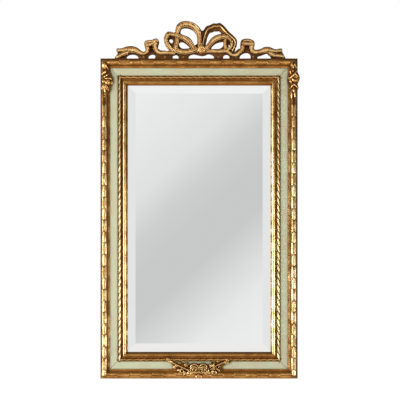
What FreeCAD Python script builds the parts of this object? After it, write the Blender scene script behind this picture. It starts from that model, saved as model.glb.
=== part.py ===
import FreeCAD, Part
import math
import os

os.makedirs("parts", exist_ok=True)

Vector = FreeCAD.Vector

# A giltwood wall mirror: a mitred pine carcass carries four applied mouldings, a bevelled plate,
# a pierced ribbon crest, two corner drops and a rose cartouche. Millimetres, front towards -Y,
# +Z up, the wall is the plane Y = 0, and the origin lies midway between the two hanging points.

# Overall sizes
frame_width = 650
frame_height = 1056
hang_drop = 210  # the frame's top edge above the hanging points
overrun = 3  # how far every cutter passes the face that it cuts

# Carcass of four mitred rails, standing off the wall on pads
wall_gap = 6.5
rail_width = 82
rail_thickness = 20
key_leg = 44
key_thickness = 3

# Outer moulding: edge fillet, torus that carries the laurel, fillet and cove down to the frieze
outer_width = 31
outer_edge_rise = 9
outer_edge_width = 2.5
torus_width = 18.5
torus_rise = 20
cove_fillet_width = 2
cove_fillet_rise = 12
cove_foot_rise = 7.6
cove_foot_width = 1.5
cove_hollow_share = 0.3

# Painted frieze board
frieze_width = 26.5
frieze_thickness = 7

# Rope bead on its own fillet
rope_width = 11
rope_fillet_width = 1.5
rope_fillet_rise = 9
rope_rise = 13

# Sight moulding: cove, bead and the lip that covers the plate's edge
sight_width = 21.5
sight_cove_width = 4
sight_cove_rise = 6.5
sight_cove_depth = 2
sight_bead_width = 13.5
sight_bead_foot = 5
sight_bead_rise = 10.5
lip_edge_rise = 1.6

# Bevelled plate and what holds it in the rebate
plate_clearance = 1
plate_thickness = 5
plate_edge_thickness = 2.2
bevel_width = 32
lip_clearance = 0.3
silver_thickness = 0.2
fillet_width = 12
board_thickness = 4
board_clearance = 0.8

# Turn buttons that hold the backing board, with their pan head screws
button_length = 28
button_width = 12
button_thickness = 1.6
button_inset = 8  # pivot to the edge of the rebate
running_gap = 0.3
screw_clearance = 0.1
pan_head_radius = 3.6
pan_head_height = 1.9
shank_radius = 1.8
button_screw_depth = 14
button_height_shares = (0.24, 0.76)

# Countersunk screws in the flat steel plates
sunk_head_radius = 3.3
sunk_head_depth = 2.4
sunk_screw_length = 15

# Flat corner plates on the back of the mitres
corner_plate_leg = 74
corner_plate_width = 14
corner_plate_thickness = 1.5
corner_screw_shares = (0.48, 0.86)

# Strap hangers with their rings, one on each upright rail
strap_width = 12
strap_length = 50
strap_thickness = 1.2
strap_screw_shares = (0.3, 0.84)
ring_wire_radius = 1.5
ring_half_width = 10.5
ring_reach = 24
ring_corner_radius = 3.2
ring_bore_clearance = 0.1
ring_lift = 0.35

# Felt pads that keep the back off the wall
pad_radius = 7
pad_inset = 20

# Pierced crest: places and widths of its ribbons are shares of these three sizes
crest_end_inset = 45  # frame's corner to the crest's end
crest_height = 125
ribbon_width = 18
crest_depth = 27
crest_back_inset = 0.3
dowel_radius = 4
dowel_rise = 11
dowel_depth = 22
dowel_shares = (-0.655, -0.40, -0.183, 0.232, 0.445, 0.645)
brace_width = 12
brace_thickness = 2.2
brace_drop = 46
brace_shares = ((-0.338, 0.27), (0.411, 0.42))
brace_screw_length = 14
brace_screw_inset = 9

# Corner drops: fruit, husk and leaves hanging down the laurel from each top corner
drop_length = 115
drop_width = 42
drop_top_inset = 11
drop_axis_inset = 13.4
drop_rise = 26
drop_root_rise = 4

# Cartouche at the middle of the bottom rail
cartouche_width = 206
cartouche_height = 64
cartouche_rise = 32
cartouche_root_rise = 6
cartouche_core_width = 80  # roses and base leaves, between the two sprays
cartouche_ground_rise = 22
pendant_height = 13
rose_radius = 16
rose_gap = 1.4
rose_shift = -0.6
spray_rise = 16

# Derived places
crest_half_span = frame_width / 2 - crest_end_inset
left_edge = -frame_width / 2
top_edge = hang_drop
bottom_edge = hang_drop - frame_height
carcass_back = -wall_gap
carcass_front = carcass_back - rail_thickness
rope_inset = outer_width + frieze_width
sight_inset = rope_inset + rope_width
sight_edge = sight_inset + sight_width
plate_inset = rail_width + plate_clearance
bevel_slope = (plate_thickness - plate_edge_thickness) / bevel_width
lip_cover = sight_edge - plate_inset
edge_setback = lip_clearance + bevel_slope * lip_cover
plate_edge_front = carcass_front + edge_setback
plate_back = plate_edge_front + plate_edge_thickness
plate_front = plate_back - plate_thickness
silver_back = plate_back + silver_thickness
board_front = carcass_back - board_thickness
ring_axis_y = carcass_back + strap_thickness + ring_lift + ring_wire_radius
ring_axis_z = ring_wire_radius - ring_reach
hanger_x = frame_width / 2 - rail_width / 2

# Ribbons of the crest. Each point is (share of the half span, share of the height, share of the
# ribbon width), and the last number of a ribbon is the share of the crest's depth that it rises to.
bow_ribbon_shares = (
    (((0.003, 0.311, 0.73), (-0.004, 0.45, 0.75), (-0.006, 0.60, 0.80), (-0.022, 0.726, 1.0),
      (-0.057, 0.824, 1.20), (-0.106, 0.882, 1.27), (-0.159, 0.900, 1.31), (-0.209, 0.868, 1.20),
      (-0.241, 0.789, 1.02), (-0.255, 0.692, 0.91), (-0.259, 0.561, 0.87), (-0.262, 0.429, 0.89),
      (-0.257, 0.320, 0.95), (-0.232, 0.232, 0.96), (-0.189, 0.190, 0.98), (-0.130, 0.184, 0.91),
      (-0.071, 0.213, 0.84), (-0.012, 0.234, 0.80)), 1.0),
    (((-0.321, 0.10, 0.73), (-0.332, 0.232, 0.80), (-0.357, 0.329, 0.86), (-0.380, 0.425, 0.86),
      (-0.384, 0.521, 0.80), (-0.365, 0.597, 0.74), (-0.328, 0.617, 0.76), (-0.278, 0.592, 0.84),
      (-0.224, 0.555, 0.85), (-0.171, 0.511, 0.93), (-0.125, 0.439, 1.0), (-0.088, 0.340, 0.93),
      (-0.048, 0.262, 0.84), (-0.006, 0.225, 0.76)), 0.82),
    (((0.046, 0.28, 0.69), (0.054, 0.429, 0.69), (0.064, 0.574, 0.76), (0.089, 0.705, 0.91),
      (0.135, 0.785, 1.02), (0.188, 0.818, 1.14), (0.238, 0.812, 1.10), (0.284, 0.752, 0.98),
      (0.328, 0.660, 0.87), (0.374, 0.566, 0.84), (0.406, 0.476, 0.85), (0.416, 0.376, 0.87),
      (0.404, 0.282, 0.85), (0.388, 0.192, 0.80), (0.385, 0.09, 0.73)), 0.96),
    (((0.058, 0.229, 0.76), (0.091, 0.290, 0.80), (0.124, 0.382, 0.84), (0.162, 0.462, 0.89),
      (0.211, 0.517, 0.93), (0.264, 0.543, 0.91), (0.315, 0.549, 0.80), (0.355, 0.520, 0.66),
      (0.376, 0.450, 0.58), (0.376, 0.363, 0.56), (0.357, 0.282, 0.58), (0.321, 0.222, 0.69),
      (0.270, 0.184, 0.80), (0.205, 0.176, 0.80), (0.155, 0.190, 0.75)), 0.8),
    (((0.215, 0.178, 0.78), (0.150, 0.192, 0.73), (0.105, 0.207, 0.71), (0.058, 0.218, 0.73)), 0.8),
    (((0.322, 0.521, 0.51), (0.311, 0.429, 0.51), (0.308, 0.337, 0.51), (0.317, 0.232, 0.55)), 0.7),
    (((-0.224, 0.129, 0.65), (-0.154, 0.116, 0.69), (-0.083, 0.129, 0.65), (-0.024, 0.124, 0.69),
      (0.026, 0.116, 0.76), (0.082, 0.124, 0.69), (0.141, 0.134, 0.65), (0.199, 0.116, 0.69),
      (0.270, 0.124, 0.65)), 0.66),
)
left_swag_shares = (
    (((-0.301, 0.134, 0.69), (-0.359, 0.139, 0.65), (-0.405, 0.152, 0.69), (-0.450, 0.152, 0.69),
      (-0.486, 0.195, 0.76), (-0.503, 0.276, 0.90), (-0.508, 0.360, 1.0), (-0.510, 0.44, 1.02)), 0.72),
    (((-0.484, 0.447, 0.80), (-0.548, 0.417, 0.93), (-0.591, 0.394, 0.91), (-0.632, 0.387, 0.76)), 0.9),
    (((-0.610, 0.42, 0.76), (-0.611, 0.324, 0.78), (-0.607, 0.237, 0.76), (-0.621, 0.160, 0.80),
      (-0.657, 0.116, 0.88), (-0.697, 0.132, 0.98), (-0.737, 0.176, 1.10), (-0.784, 0.205, 1.20),
      (-0.836, 0.203, 1.24), (-0.872, 0.182, 1.25)), 0.76),
    (((-0.842, 0.226, 0.80), (-0.885, 0.214, 0.71), (-0.928, 0.203, 0.62), (-0.965, 0.197, 0.55)), 0.8),
    (((-0.832, 0.172, 0.84), (-0.877, 0.120, 0.80), (-0.924, 0.075, 0.73), (-0.975, 0.040, 0.55)), 0.7),
)
right_swag_shares = (
    (((0.336, 0.200, 0.69), (0.364, 0.134, 0.65), (0.401, 0.097, 0.65), (0.436, 0.109, 0.69),
      (0.466, 0.156, 0.74), (0.495, 0.214, 0.80), (0.513, 0.287, 0.82), (0.517, 0.365, 0.82),
      (0.519, 0.44, 0.80)), 0.72),
    (((0.488, 0.412, 0.76), (0.546, 0.432, 0.93), (0.594, 0.428, 0.93), (0.645, 0.400, 0.80)), 0.9),
    (((0.617, 0.43, 1.0), (0.616, 0.324, 1.05), (0.618, 0.245, 1.0), (0.636, 0.182, 0.91),
      (0.672, 0.155, 0.88), (0.715, 0.163, 0.88), (0.762, 0.187, 0.91), (0.804, 0.187, 0.96),
      (0.846, 0.158, 1.05)), 0.76),
    (((0.812, 0.203, 0.74), (0.864, 0.190, 0.69), (0.917, 0.184, 0.62), (0.975, 0.189, 0.60)), 0.8),
    (((0.818, 0.155, 0.84), (0.868, 0.100, 0.80), (0.929, 0.072, 0.73), (0.995, 0.055, 0.62)), 0.7),
)
# Feet between the ribbons and the frame's top edge: (left share, right share, height share)
left_foot_shares = ((-0.982, -0.862, 0.055), (-0.704, -0.605, 0.103), (-0.504, -0.322, 0.105))
bow_foot_shares = ((-0.231, -0.135, 0.129), (0.190, 0.274, 0.124))
right_foot_shares = ((0.368, 0.465, 0.087), (0.614, 0.677, 0.13), (0.851, 0.999, 0.045))
foot_depth_share = 0.62
knot_shares = (0.026, 0.26, 0.052, 0.115)  # centre, half width and half height of the bow's knot

# Corner drop: (across share, down share, length share, width share, turn) for each leaf, and
# (across share, down share, radius share) for each fruit, of the drop's width and length.
drop_leaf_share = 0.3  # of the fruit's stand above the torus, how far the leaves stay back
left_leaf_shares = (
    (0.00, 0.095, 0.19, 0.44, 0), (-0.06, 0.36, 0.18, 0.16, 24), (0.10, 0.34, 0.17, 0.16, -32),
    (0.24, 0.475, 0.09, 0.56, 10), (-0.16, 0.76, 0.20, 0.26, 28), (0.19, 0.76, 0.20, 0.26, -28),
    (0.01, 0.50, 0.96, 0.16, 0),
)
left_fruit_shares = (
    (0.23, 0.565, 0.20), (-0.08, 0.53, 0.19), (0.50, 0.565, 0.15), (0.04, 0.90, 0.11), (0.02, 0.965, 0.075),
)
right_leaf_shares = (
    (-0.06, 0.085, 0.16, 0.34, 0), (0.01, 0.23, 0.20, 0.26, 20), (-0.02, 0.42, 0.22, 0.30, 24),
    (0.10, 0.49, 0.10, 0.56, -10), (-0.15, 0.75, 0.22, 0.26, 28), (0.20, 0.75, 0.20, 0.26, -28),
    (0.01, 0.50, 0.96, 0.16, 0),
)
right_fruit_shares = (
    (0.05, 0.57, 0.20), (-0.23, 0.575, 0.17), (0.32, 0.57, 0.17), (0.02, 0.90, 0.10), (0.01, 0.965, 0.075),
)

# Cartouche, in shares of its width and height from its middle. Stems are (across, up, width), leaves
# are (across, up, length, width, turn) and berries are (across, up, radius).
rose_drop_share = 0.027
petal_orbit_share = 0.52
petal_radius_share = 0.5
petal_drop_share = 0.22
petal_count = 5
boss_shoulder_share = 0.45
boss_crown_share = 0.6
left_stem_shares = ((-0.490, 0.441, 0.07), (-0.432, 0.318, 0.07), (-0.368, 0.210, 0.08),
                    (-0.304, 0.112, 0.08), (-0.240, 0.020, 0.09), (-0.170, -0.063, 0.10))
left_spray_shares = (
    (-0.486, 0.440, 0.16, 0.13, 30), (-0.468, 0.390, 0.18, 0.11, -40), (-0.314, 0.185, 0.17, 0.06, 0),
    (-0.360, 0.117, 0.18, 0.06, -50), (-0.224, 0.060, 0.26, 0.09, -8), (-0.272, -0.085, 0.32, 0.15, -40),
)
left_berry_shares = ((-0.316, 0.260, 0.05), (-0.375, 0.050, 0.055), (-0.222, 0.165, 0.065),
                     (-0.236, 0.115, 0.055), (-0.212, 0.115, 0.055))
right_stem_shares = ((0.170, -0.095, 0.10), (0.239, 0.050, 0.09), (0.295, 0.179, 0.08),
                     (0.351, 0.261, 0.08), (0.415, 0.359, 0.07), (0.475, 0.445, 0.07))
right_spray_shares = (
    (0.218, 0.160, 0.30, 0.13, 18), (0.455, 0.400, 0.15, 0.14, 30), (0.480, 0.450, 0.14, 0.10, -50),
    (0.303, 0.270, 0.18, 0.06, 0), (0.222, -0.085, 0.32, 0.15, 38),
)
right_berry_shares = ((0.300, 0.345, 0.05), (0.314, 0.125, 0.06), (0.247, -0.008, 0.055))
base_leaf_shares = (
    (0.0, -0.10, 1.20, 0.62, 90), (-0.135, -0.175, 0.24, 0.16, 34), (-0.085, -0.20, 0.24, 0.15, 14),
    (-0.03, -0.20, 0.22, 0.14, 4), (0.03, -0.20, 0.22, 0.14, -4), (0.085, -0.20, 0.24, 0.15, -14),
    (0.135, -0.175, 0.24, 0.16, -34),
)
pendant_leaf_shares = ((-0.004, -0.37, 0.25, 0.40, 0),)


def box_between(x0, x1, y0, y1, z0, z1):
    corner = Vector(min(x0, x1), min(y0, y1), min(z0, z1))
    return Part.makeBox(abs(x1 - x0), abs(y1 - y0), abs(z1 - z0), corner)


def save(name, shape):
    shape.exportStep("parts/" + name + ".step")
    print(name, len(shape.Solids), round(shape.Volume, 1), shape.isValid())


def largest_solid(shape):
    return sorted(shape.Solids, key=lambda solid: solid.Volume)[-1]


def fuse_all(shapes):
    if len(shapes) == 1:
        return shapes[0]
    return shapes[0].multiFuse(shapes[1:]).removeSplitter()


# Each side of the frame is drawn once, along its outer edge and inward from it.
def side_layout(side):
    right_edge = -left_edge
    layouts = {
        "left": (Vector(left_edge, 0, bottom_edge), Vector(0, 0, 1), Vector(1, 0, 0), frame_height),
        "right": (Vector(right_edge, 0, bottom_edge), Vector(0, 0, 1), Vector(-1, 0, 0), frame_height),
        "top": (Vector(left_edge, 0, top_edge), Vector(1, 0, 0), Vector(0, 0, -1), frame_width),
        "bottom": (Vector(left_edge, 0, bottom_edge), Vector(1, 0, 0), Vector(0, 0, 1), frame_width),
    }
    return layouts[side]


def side_point(side, along, inward, y):
    corner, run, inner, length = side_layout(side)
    return corner + run * along + inner * inward + Vector(0, y, 0)


# Prism that keeps what lies between the two mitres of a side.
def mitre_prism(side):
    length = side_layout(side)[3]
    deep = sight_edge + overrun
    corners = ((-overrun, -overrun), (length + overrun, -overrun), (length - deep, deep), (deep, deep))
    points = [side_point(side, along, inward, -crest_depth - rail_width) for along, inward in corners]
    face = Part.Face(Part.makePolygon(points + points[:1]))
    return face.extrude(Vector(0, crest_depth + rail_width, 0))


# A straight moulding: its section is a list of edges between (inward, rise) points.
def mitred_bar(side, section):
    edges = []
    for step in section:
        points = [side_point(side, 0, inward, carcass_front - rise) for inward, rise in step]
        if len(points) == 2:
            edges.append(Part.makeLine(points[0], points[1]))
        else:
            edges.append(Part.Arc(points[0], points[1], points[2]).toShape())
    corner, run, inner, length = side_layout(side)
    bar = Part.Face(Part.Wire(edges)).extrude(run * length)
    return largest_solid(bar.common(mitre_prism(side)))


def rectangle_section(inset, width, low, high):
    corners = [(inset, low), (inset, high), (inset + width, high), (inset + width, low)]
    return [(corners[i], corners[(i + 1) % 4]) for i in range(4)]


def outer_section():
    torus_start = (outer_edge_width, outer_edge_rise)
    torus_top = (outer_edge_width + torus_width / 2, torus_rise)
    torus_end = (outer_edge_width + torus_width, cove_fillet_rise)
    cove_start = (torus_end[0] + cove_fillet_width, cove_fillet_rise)
    cove_end = (outer_width - cove_foot_width, cove_foot_rise)
    cove_middle = (cove_start[0] + (cove_end[0] - cove_start[0]) * cove_hollow_share,
                   cove_end[1] + (cove_start[1] - cove_end[1]) * cove_hollow_share)
    return [
        ((0, 0), (0, outer_edge_rise)),
        ((0, outer_edge_rise), torus_start),
        (torus_start, torus_top, torus_end),
        (torus_end, cove_start),
        (cove_start, cove_middle, cove_end),
        (cove_end, (outer_width, cove_foot_rise)),
        ((outer_width, cove_foot_rise), (outer_width, 0)),
        ((outer_width, 0), (0, 0)),
    ]


def rope_section():
    end = rope_inset + rope_width
    start = (rope_inset + rope_fillet_width, rope_fillet_rise)
    top = (rope_inset + rope_width / 2, rope_rise)
    stop = (end - rope_fillet_width, rope_fillet_rise)
    return [
        ((rope_inset, 0), (rope_inset, rope_fillet_rise)),
        ((rope_inset, rope_fillet_rise), start),
        (start, top, stop),
        (stop, (end, rope_fillet_rise)),
        ((end, rope_fillet_rise), (end, 0)),
        ((end, 0), (rope_inset, 0)),
    ]


def sight_section():
    cove_start = (sight_inset, sight_cove_rise)
    cove_low = (sight_inset + sight_cove_width / 2, sight_cove_rise - sight_cove_depth)
    bead_start = (sight_inset + sight_cove_width, sight_bead_foot)
    bead_top = (bead_start[0] + sight_bead_width / 2, sight_bead_rise)
    bead_end = (bead_start[0] + sight_bead_width, sight_bead_foot)
    return [
        ((sight_inset, 0), cove_start),
        (cove_start, cove_low, bead_start),
        (bead_start, bead_top, bead_end),
        (bead_end, (sight_edge, lip_edge_rise)),
        ((sight_edge, lip_edge_rise), (sight_edge, 0)),
        ((sight_edge, 0), (sight_inset, 0)),
    ]


# Fasteners along +Y, their tips in the wood and their heads towards the wall.
def pan_screw(x, z, head_face, depth):
    head = Part.makeCylinder(pan_head_radius, pan_head_height, Vector(x, head_face, z), Vector(0, 1, 0))
    tip = carcass_back - depth
    shank = Part.makeCylinder(shank_radius, head_face - tip, Vector(x, tip, z), Vector(0, 1, 0))
    return head.fuse(shank)


def sunk_screw(x, z, head_face, length):
    head_start = Vector(x, head_face - sunk_head_depth, z)
    head = Part.makeCone(shank_radius, sunk_head_radius, sunk_head_depth, head_start, Vector(0, 1, 0))
    tip = Vector(x, head_face - length, z)
    shank = Part.makeCylinder(shank_radius, length - sunk_head_depth, tip, Vector(0, 1, 0))
    return head.fuse(shank)


# Feather keys let into the outer corners of the carcass.
def corner_key(side_x, side_z):
    corner_x = side_x * frame_width / 2
    corner_z = top_edge if side_z > 0 else bottom_edge
    middle = (carcass_back + carcass_front) / 2
    points = [
        Vector(corner_x, middle - key_thickness / 2, corner_z),
        Vector(corner_x - side_x * key_leg, middle - key_thickness / 2, corner_z),
        Vector(corner_x, middle - key_thickness / 2, corner_z - side_z * key_leg),
    ]
    return Part.Face(Part.makePolygon(points + points[:1])).extrude(Vector(0, key_thickness, 0))


def corner_signs():
    return [(side_x, side_z) for side_x in (-1, 1) for side_z in (-1, 1)]


# Corner plates sit on the mitres, with their outer corner in the middle of the rails.
def corner_plate_origin(side_x, side_z):
    inset = rail_width / 2 - corner_plate_width / 2
    corner_z = top_edge if side_z > 0 else bottom_edge
    return side_x * (frame_width / 2 - inset), corner_z - side_z * inset


def corner_plate_screw_places(side_x, side_z):
    x, z = corner_plate_origin(side_x, side_z)
    middle = corner_plate_width / 2
    places = []
    for share in corner_screw_shares:
        reach = share * corner_plate_leg
        places.append((x - side_x * reach, z - side_z * middle))
        places.append((x - side_x * middle, z - side_z * reach))
    return places


def corner_plate(side_x, side_z):
    x, z = corner_plate_origin(side_x, side_z)
    back = carcass_back + corner_plate_thickness
    leg = corner_plate_leg
    width = corner_plate_width
    level = box_between(x, x - side_x * leg, carcass_back, back, z, z - side_z * width)
    upright = box_between(x, x - side_x * width, carcass_back, back, z, z - side_z * leg)
    return level.fuse(upright).removeSplitter()


# Strap hanger: a plate screwed to the upright rail, curled round the ring's bar at its top.
def hanger_screw_places(side_x):
    return [(side_x * hanger_x, ring_axis_z - share * strap_length) for share in strap_screw_shares]


def hanger_strap(side_x):
    x0 = side_x * hanger_x - strap_width / 2
    bore = ring_wire_radius + ring_bore_clearance
    curl = bore + strap_thickness
    plate_back_y = carcass_back + strap_thickness
    plate = box_between(x0, x0 + strap_width, carcass_back, plate_back_y,
                        ring_axis_z - strap_length, ring_axis_z)
    axis_start = Vector(x0, ring_axis_y, ring_axis_z)
    barrel = Part.makeCylinder(curl, strap_width, axis_start, Vector(1, 0, 0))
    barrel = barrel.common(box_between(x0 - overrun, x0 + strap_width + overrun, carcass_back, 0,
                                       ring_axis_z - ring_reach, ring_axis_z + ring_reach))
    hole_start = Vector(x0 - overrun, ring_axis_y, ring_axis_z)
    hole = Part.makeCylinder(bore, strap_width + overrun * 2, hole_start, Vector(1, 0, 0))
    return plate.fuse(barrel).removeSplitter().cut(hole)


# The ring hangs down from its bar: a bar, two rounded corners and a half circle below.
def hanger_ring(side_x):
    x = side_x * hanger_x
    half = ring_half_width
    corner = ring_corner_radius
    far = ring_reach - half
    slant = corner - corner * math.cos(math.radians(45))

    def at(across, down):
        return Vector(x + across, ring_axis_y, ring_axis_z - down)

    edges = [
        Part.makeLine(at(0, 0), at(half - corner, 0)),
        Part.Arc(at(half - corner, 0), at(half - slant, slant), at(half, corner)).toShape(),
        Part.makeLine(at(half, corner), at(half, far)),
        Part.Arc(at(half, far), at(0, ring_reach), at(-half, far)).toShape(),
        Part.makeLine(at(-half, far), at(-half, corner)),
        Part.Arc(at(-half, corner), at(slant - half, slant), at(corner - half, 0)).toShape(),
        Part.makeLine(at(corner - half, 0), at(0, 0)),
    ]
    wire_section = Part.Wire(Part.makeCircle(ring_wire_radius, at(0, 0), Vector(1, 0, 0)))
    return Part.Wire(edges).makePipeShell([wire_section], True, True)


# Turn buttons pivot beside the rebate; the long end lies over the board.
def button_places():
    inset = rail_width - button_inset
    x = frame_width / 2 - inset
    places = []
    for share in button_height_shares:
        z = bottom_edge + share * frame_height
        places.append((-x, z, 1, 0))
        places.append((x, z, -1, 0))
    places.append((0, top_edge - inset, 0, -1))
    places.append((0, bottom_edge + inset, 0, 1))
    return places


def turn_button(x, z, toward_x, toward_z):
    half = button_width / 2
    front = carcass_back + running_gap
    far = button_length - button_width

    def at(along, across):
        return Vector(x + toward_x * along - toward_z * across, front,
                      z + toward_z * along + toward_x * across)

    edges = [
        Part.makeLine(at(0, -half), at(far, -half)),
        Part.Arc(at(far, -half), at(far + half, 0), at(far, half)).toShape(),
        Part.makeLine(at(far, half), at(0, half)),
        Part.Arc(at(0, half), at(-half, 0), at(0, -half)).toShape(),
    ]
    blade = Part.Face(Part.Wire(edges)).extrude(Vector(0, button_thickness, 0))
    hole_start = Vector(x, front - overrun, z)
    hole = Part.makeCylinder(shank_radius + screw_clearance, button_thickness + overrun * 2,
                             hole_start, Vector(0, 1, 0))
    return blade.cut(hole)


# Bevelled plate: a thin slab and the sloping rim that rises to the flat face.
def rectangle_wire(inset, y):
    x = frame_width / 2 - inset
    low = bottom_edge + inset
    high = top_edge - inset
    points = [Vector(-x, y, low), Vector(x, y, low), Vector(x, y, high), Vector(-x, y, high)]
    return Part.makePolygon(points + points[:1])


def mirror_plate():
    slab = Part.Face(rectangle_wire(plate_inset, plate_back)).extrude(Vector(0, -plate_edge_thickness, 0))
    bevel = Part.makeLoft([rectangle_wire(plate_inset, plate_edge_front),
                           rectangle_wire(plate_inset + bevel_width, plate_front)], True, True)
    return slab.fuse(bevel)


def panel(inset, front, back):
    return Part.Face(rectangle_wire(inset, front)).extrude(Vector(0, back - front, 0))


# Square fillets behind the plate, the upright ones between the level ones.
def rebate_fillets():
    outer = rail_width
    inner = rail_width + fillet_width
    x_out = frame_width / 2 - outer
    x_in = frame_width / 2 - inner
    low_out = bottom_edge + outer
    low_in = bottom_edge + inner
    high_out = top_edge - outer
    high_in = top_edge - inner
    return [
        box_between(-x_out, x_out, silver_back, board_front, high_in, high_out),
        box_between(-x_out, x_out, silver_back, board_front, low_out, low_in),
        box_between(-x_out, -x_in, silver_back, board_front, low_in, high_in),
        box_between(x_in, x_out, silver_back, board_front, low_in, high_in),
    ]


def wall_pads():
    pads = []
    for side_x, side_z in corner_signs():
        corner_z = top_edge if side_z > 0 else bottom_edge
        place = Vector(side_x * (frame_width / 2 - pad_inset), carcass_back, corner_z - side_z * pad_inset)
        pads.append(Part.makeCylinder(pad_radius, wall_gap, place, Vector(0, 1, 0)))
    return pads


# A carved strip, cut as a wall of varying width that follows its middle line: (x, z, half width).
def strip(middle, root, depth):
    left_points = []
    right_points = []
    for i, (x, z, half) in enumerate(middle):
        before = middle[max(i - 1, 0)]
        after = middle[min(i + 1, len(middle) - 1)]
        length = math.hypot(after[0] - before[0], after[1] - before[1])
        across = Vector((before[1] - after[1]) / length, 0, (after[0] - before[0]) / length)
        place = Vector(x, root, z)
        left_points.append(place + across * half)
        right_points.append(place - across * half)
    right_points.reverse()
    left_line = Part.BSplineCurve()
    left_line.interpolate(left_points)
    right_line = Part.BSplineCurve()
    right_line.interpolate(right_points)
    edges = [
        left_line.toShape(),
        Part.makeLine(left_points[-1], right_points[0]),
        right_line.toShape(),
        Part.makeLine(right_points[-1], left_points[0]),
    ]
    return Part.Face(Part.Wire(edges)).extrude(Vector(0, -depth, 0))


def ribbon(shares, depth_share):
    middle = [(x * crest_half_span, top_edge + z * crest_height, w * ribbon_width / 2) for x, z, w in shares]
    return strip(middle, carcass_back - crest_back_inset, crest_depth * depth_share)


def feet(shares):
    back = carcass_back - crest_back_inset
    front = back - crest_depth * foot_depth_share
    return [box_between(x0 * crest_half_span, x1 * crest_half_span, back, front,
                        top_edge, top_edge + z * crest_height) for x0, x1, z in shares]


def knot():
    x, z, half_x, half_z = knot_shares
    centre = Vector(x * crest_half_span, carcass_back - crest_back_inset, top_edge + z * crest_height)
    radius = half_z * crest_height
    length = half_x * crest_half_span * 2 - radius
    start = centre - Vector(length / 2, 0, 0)
    ends = [Part.makeCylinder(radius, crest_depth, start + Vector(length * i, 0, 0), Vector(0, -1, 0))
            for i in (0, 1)]
    block = box_between(start.x, start.x + length, centre.y, centre.y - crest_depth,
                        centre.z - radius, centre.z + radius)
    return ends + [block]


def crest_piece(ribbon_shares, foot_shares, extra):
    pieces = [ribbon(points, depth) for points, depth in ribbon_shares] + feet(foot_shares) + extra
    span = crest_half_span * 2
    below = box_between(-span, span, 0, -crest_depth * 2, top_edge, top_edge - crest_height)
    return fuse_all(pieces).cut(below)


def dowels():
    middle = (carcass_back + carcass_front) / 2
    start = top_edge - dowel_depth
    return [Part.makeCylinder(dowel_radius, dowel_depth + dowel_rise,
                              Vector(share * crest_half_span, middle, start)) for share in dowel_shares]


def braces():
    low = top_edge - brace_drop
    return [box_between(share * crest_half_span - brace_width / 2, share * crest_half_span + brace_width / 2,
                        carcass_back, carcass_back + brace_thickness, low, top_edge + rise * crest_height)
            for share, rise in brace_shares]


def brace_screws():
    head_face = carcass_back + brace_thickness
    screws = []
    for share, rise in brace_shares:
        x = share * crest_half_span
        low = top_edge - brace_drop
        for z in (low + brace_screw_inset, low + brace_screw_inset * 3):
            screws.append(sunk_screw(x, z, head_face, brace_screw_length))
        high = top_edge + rise * crest_height - brace_screw_inset
        screws.append(sunk_screw(x, high, head_face, brace_screw_length))
    return screws


# A leaf of the carved ornaments: two arcs that meet in points, cut through the relief's depth.
def leaf(x, z, length, width, turn, root, front):
    angle = math.radians(turn)
    tip = Vector(-math.sin(angle), 0, math.cos(angle)) * (length / 2)
    side = Vector(math.cos(angle), 0, math.sin(angle)) * (width / 2)
    centre = Vector(x, root, z)
    edges = [
        Part.Arc(centre - tip, centre + side, centre + tip).toShape(),
        Part.Arc(centre + tip, centre - side, centre - tip).toShape(),
    ]
    return Part.Face(Part.Wire(edges)).extrude(Vector(0, front - root, 0))


# A round fruit, berry or petal: a post from the ground with a sloping shoulder under its flat crown.
def boss(x, z, radius, root, front):
    shoulder = radius * boss_shoulder_share
    post = Part.makeCylinder(radius, root - front - shoulder, Vector(x, root, z), Vector(0, -1, 0))
    crown = Part.makeCone(radius, radius * boss_crown_share, shoulder, Vector(x, front + shoulder, z),
                          Vector(0, -1, 0))
    return post.fuse(crown)


def corner_drop(side_x, leaf_shares, fruit_shares, ground):
    axis_x = side_x * (frame_width / 2 - drop_axis_inset)
    start_z = top_edge - drop_top_inset
    root = carcass_front - drop_root_rise
    front = carcass_front - drop_rise
    leaf_front = front + (drop_rise - torus_rise) * drop_leaf_share
    pieces = [leaf(axis_x + across * drop_width, start_z - down * drop_length, long * drop_length,
                   wide * drop_width, turn, root, leaf_front)
              for across, down, long, wide, turn in leaf_shares]
    pieces += [boss(axis_x + across * drop_width, start_z - down * drop_length,
                    radius * drop_width, root, front)
               for across, down, radius in fruit_shares]
    return largest_solid(fuse_all(pieces).cut(ground))


def cartouche_middle():
    return bottom_edge + cartouche_height / 2


def cartouche_leaves(leaf_shares, rise):
    front = carcass_front - rise
    root = carcass_front - cartouche_root_rise
    return [leaf(x * cartouche_width, cartouche_middle() + z * cartouche_height, long * cartouche_height,
                 wide * cartouche_height, turn, root, front)
            for x, z, long, wide, turn in leaf_shares]


# A spray: a stem with its leaves and berries, outside the core that the roses fill.
def spray(stem_shares, leaf_shares, berry_shares, ground):
    pieces = cartouche_leaves(leaf_shares, spray_rise)
    root = carcass_front - cartouche_root_rise
    for x, z, radius in berry_shares:
        size = radius * cartouche_height
        pieces.append(boss(x * cartouche_width, cartouche_middle() + z * cartouche_height, size, root,
                           carcass_front - spray_rise - size / 2))
    middle = [(x * cartouche_width, cartouche_middle() + z * cartouche_height, w * cartouche_height / 2)
              for x, z, w in stem_shares]
    pieces.append(strip(middle, root, spray_rise - cartouche_root_rise))
    half = cartouche_core_width / 2
    core = box_between(-half, half, 0, carcass_front - cartouche_rise, bottom_edge, top_edge)
    return largest_solid(fuse_all(pieces).cut(ground + [core]))


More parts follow.
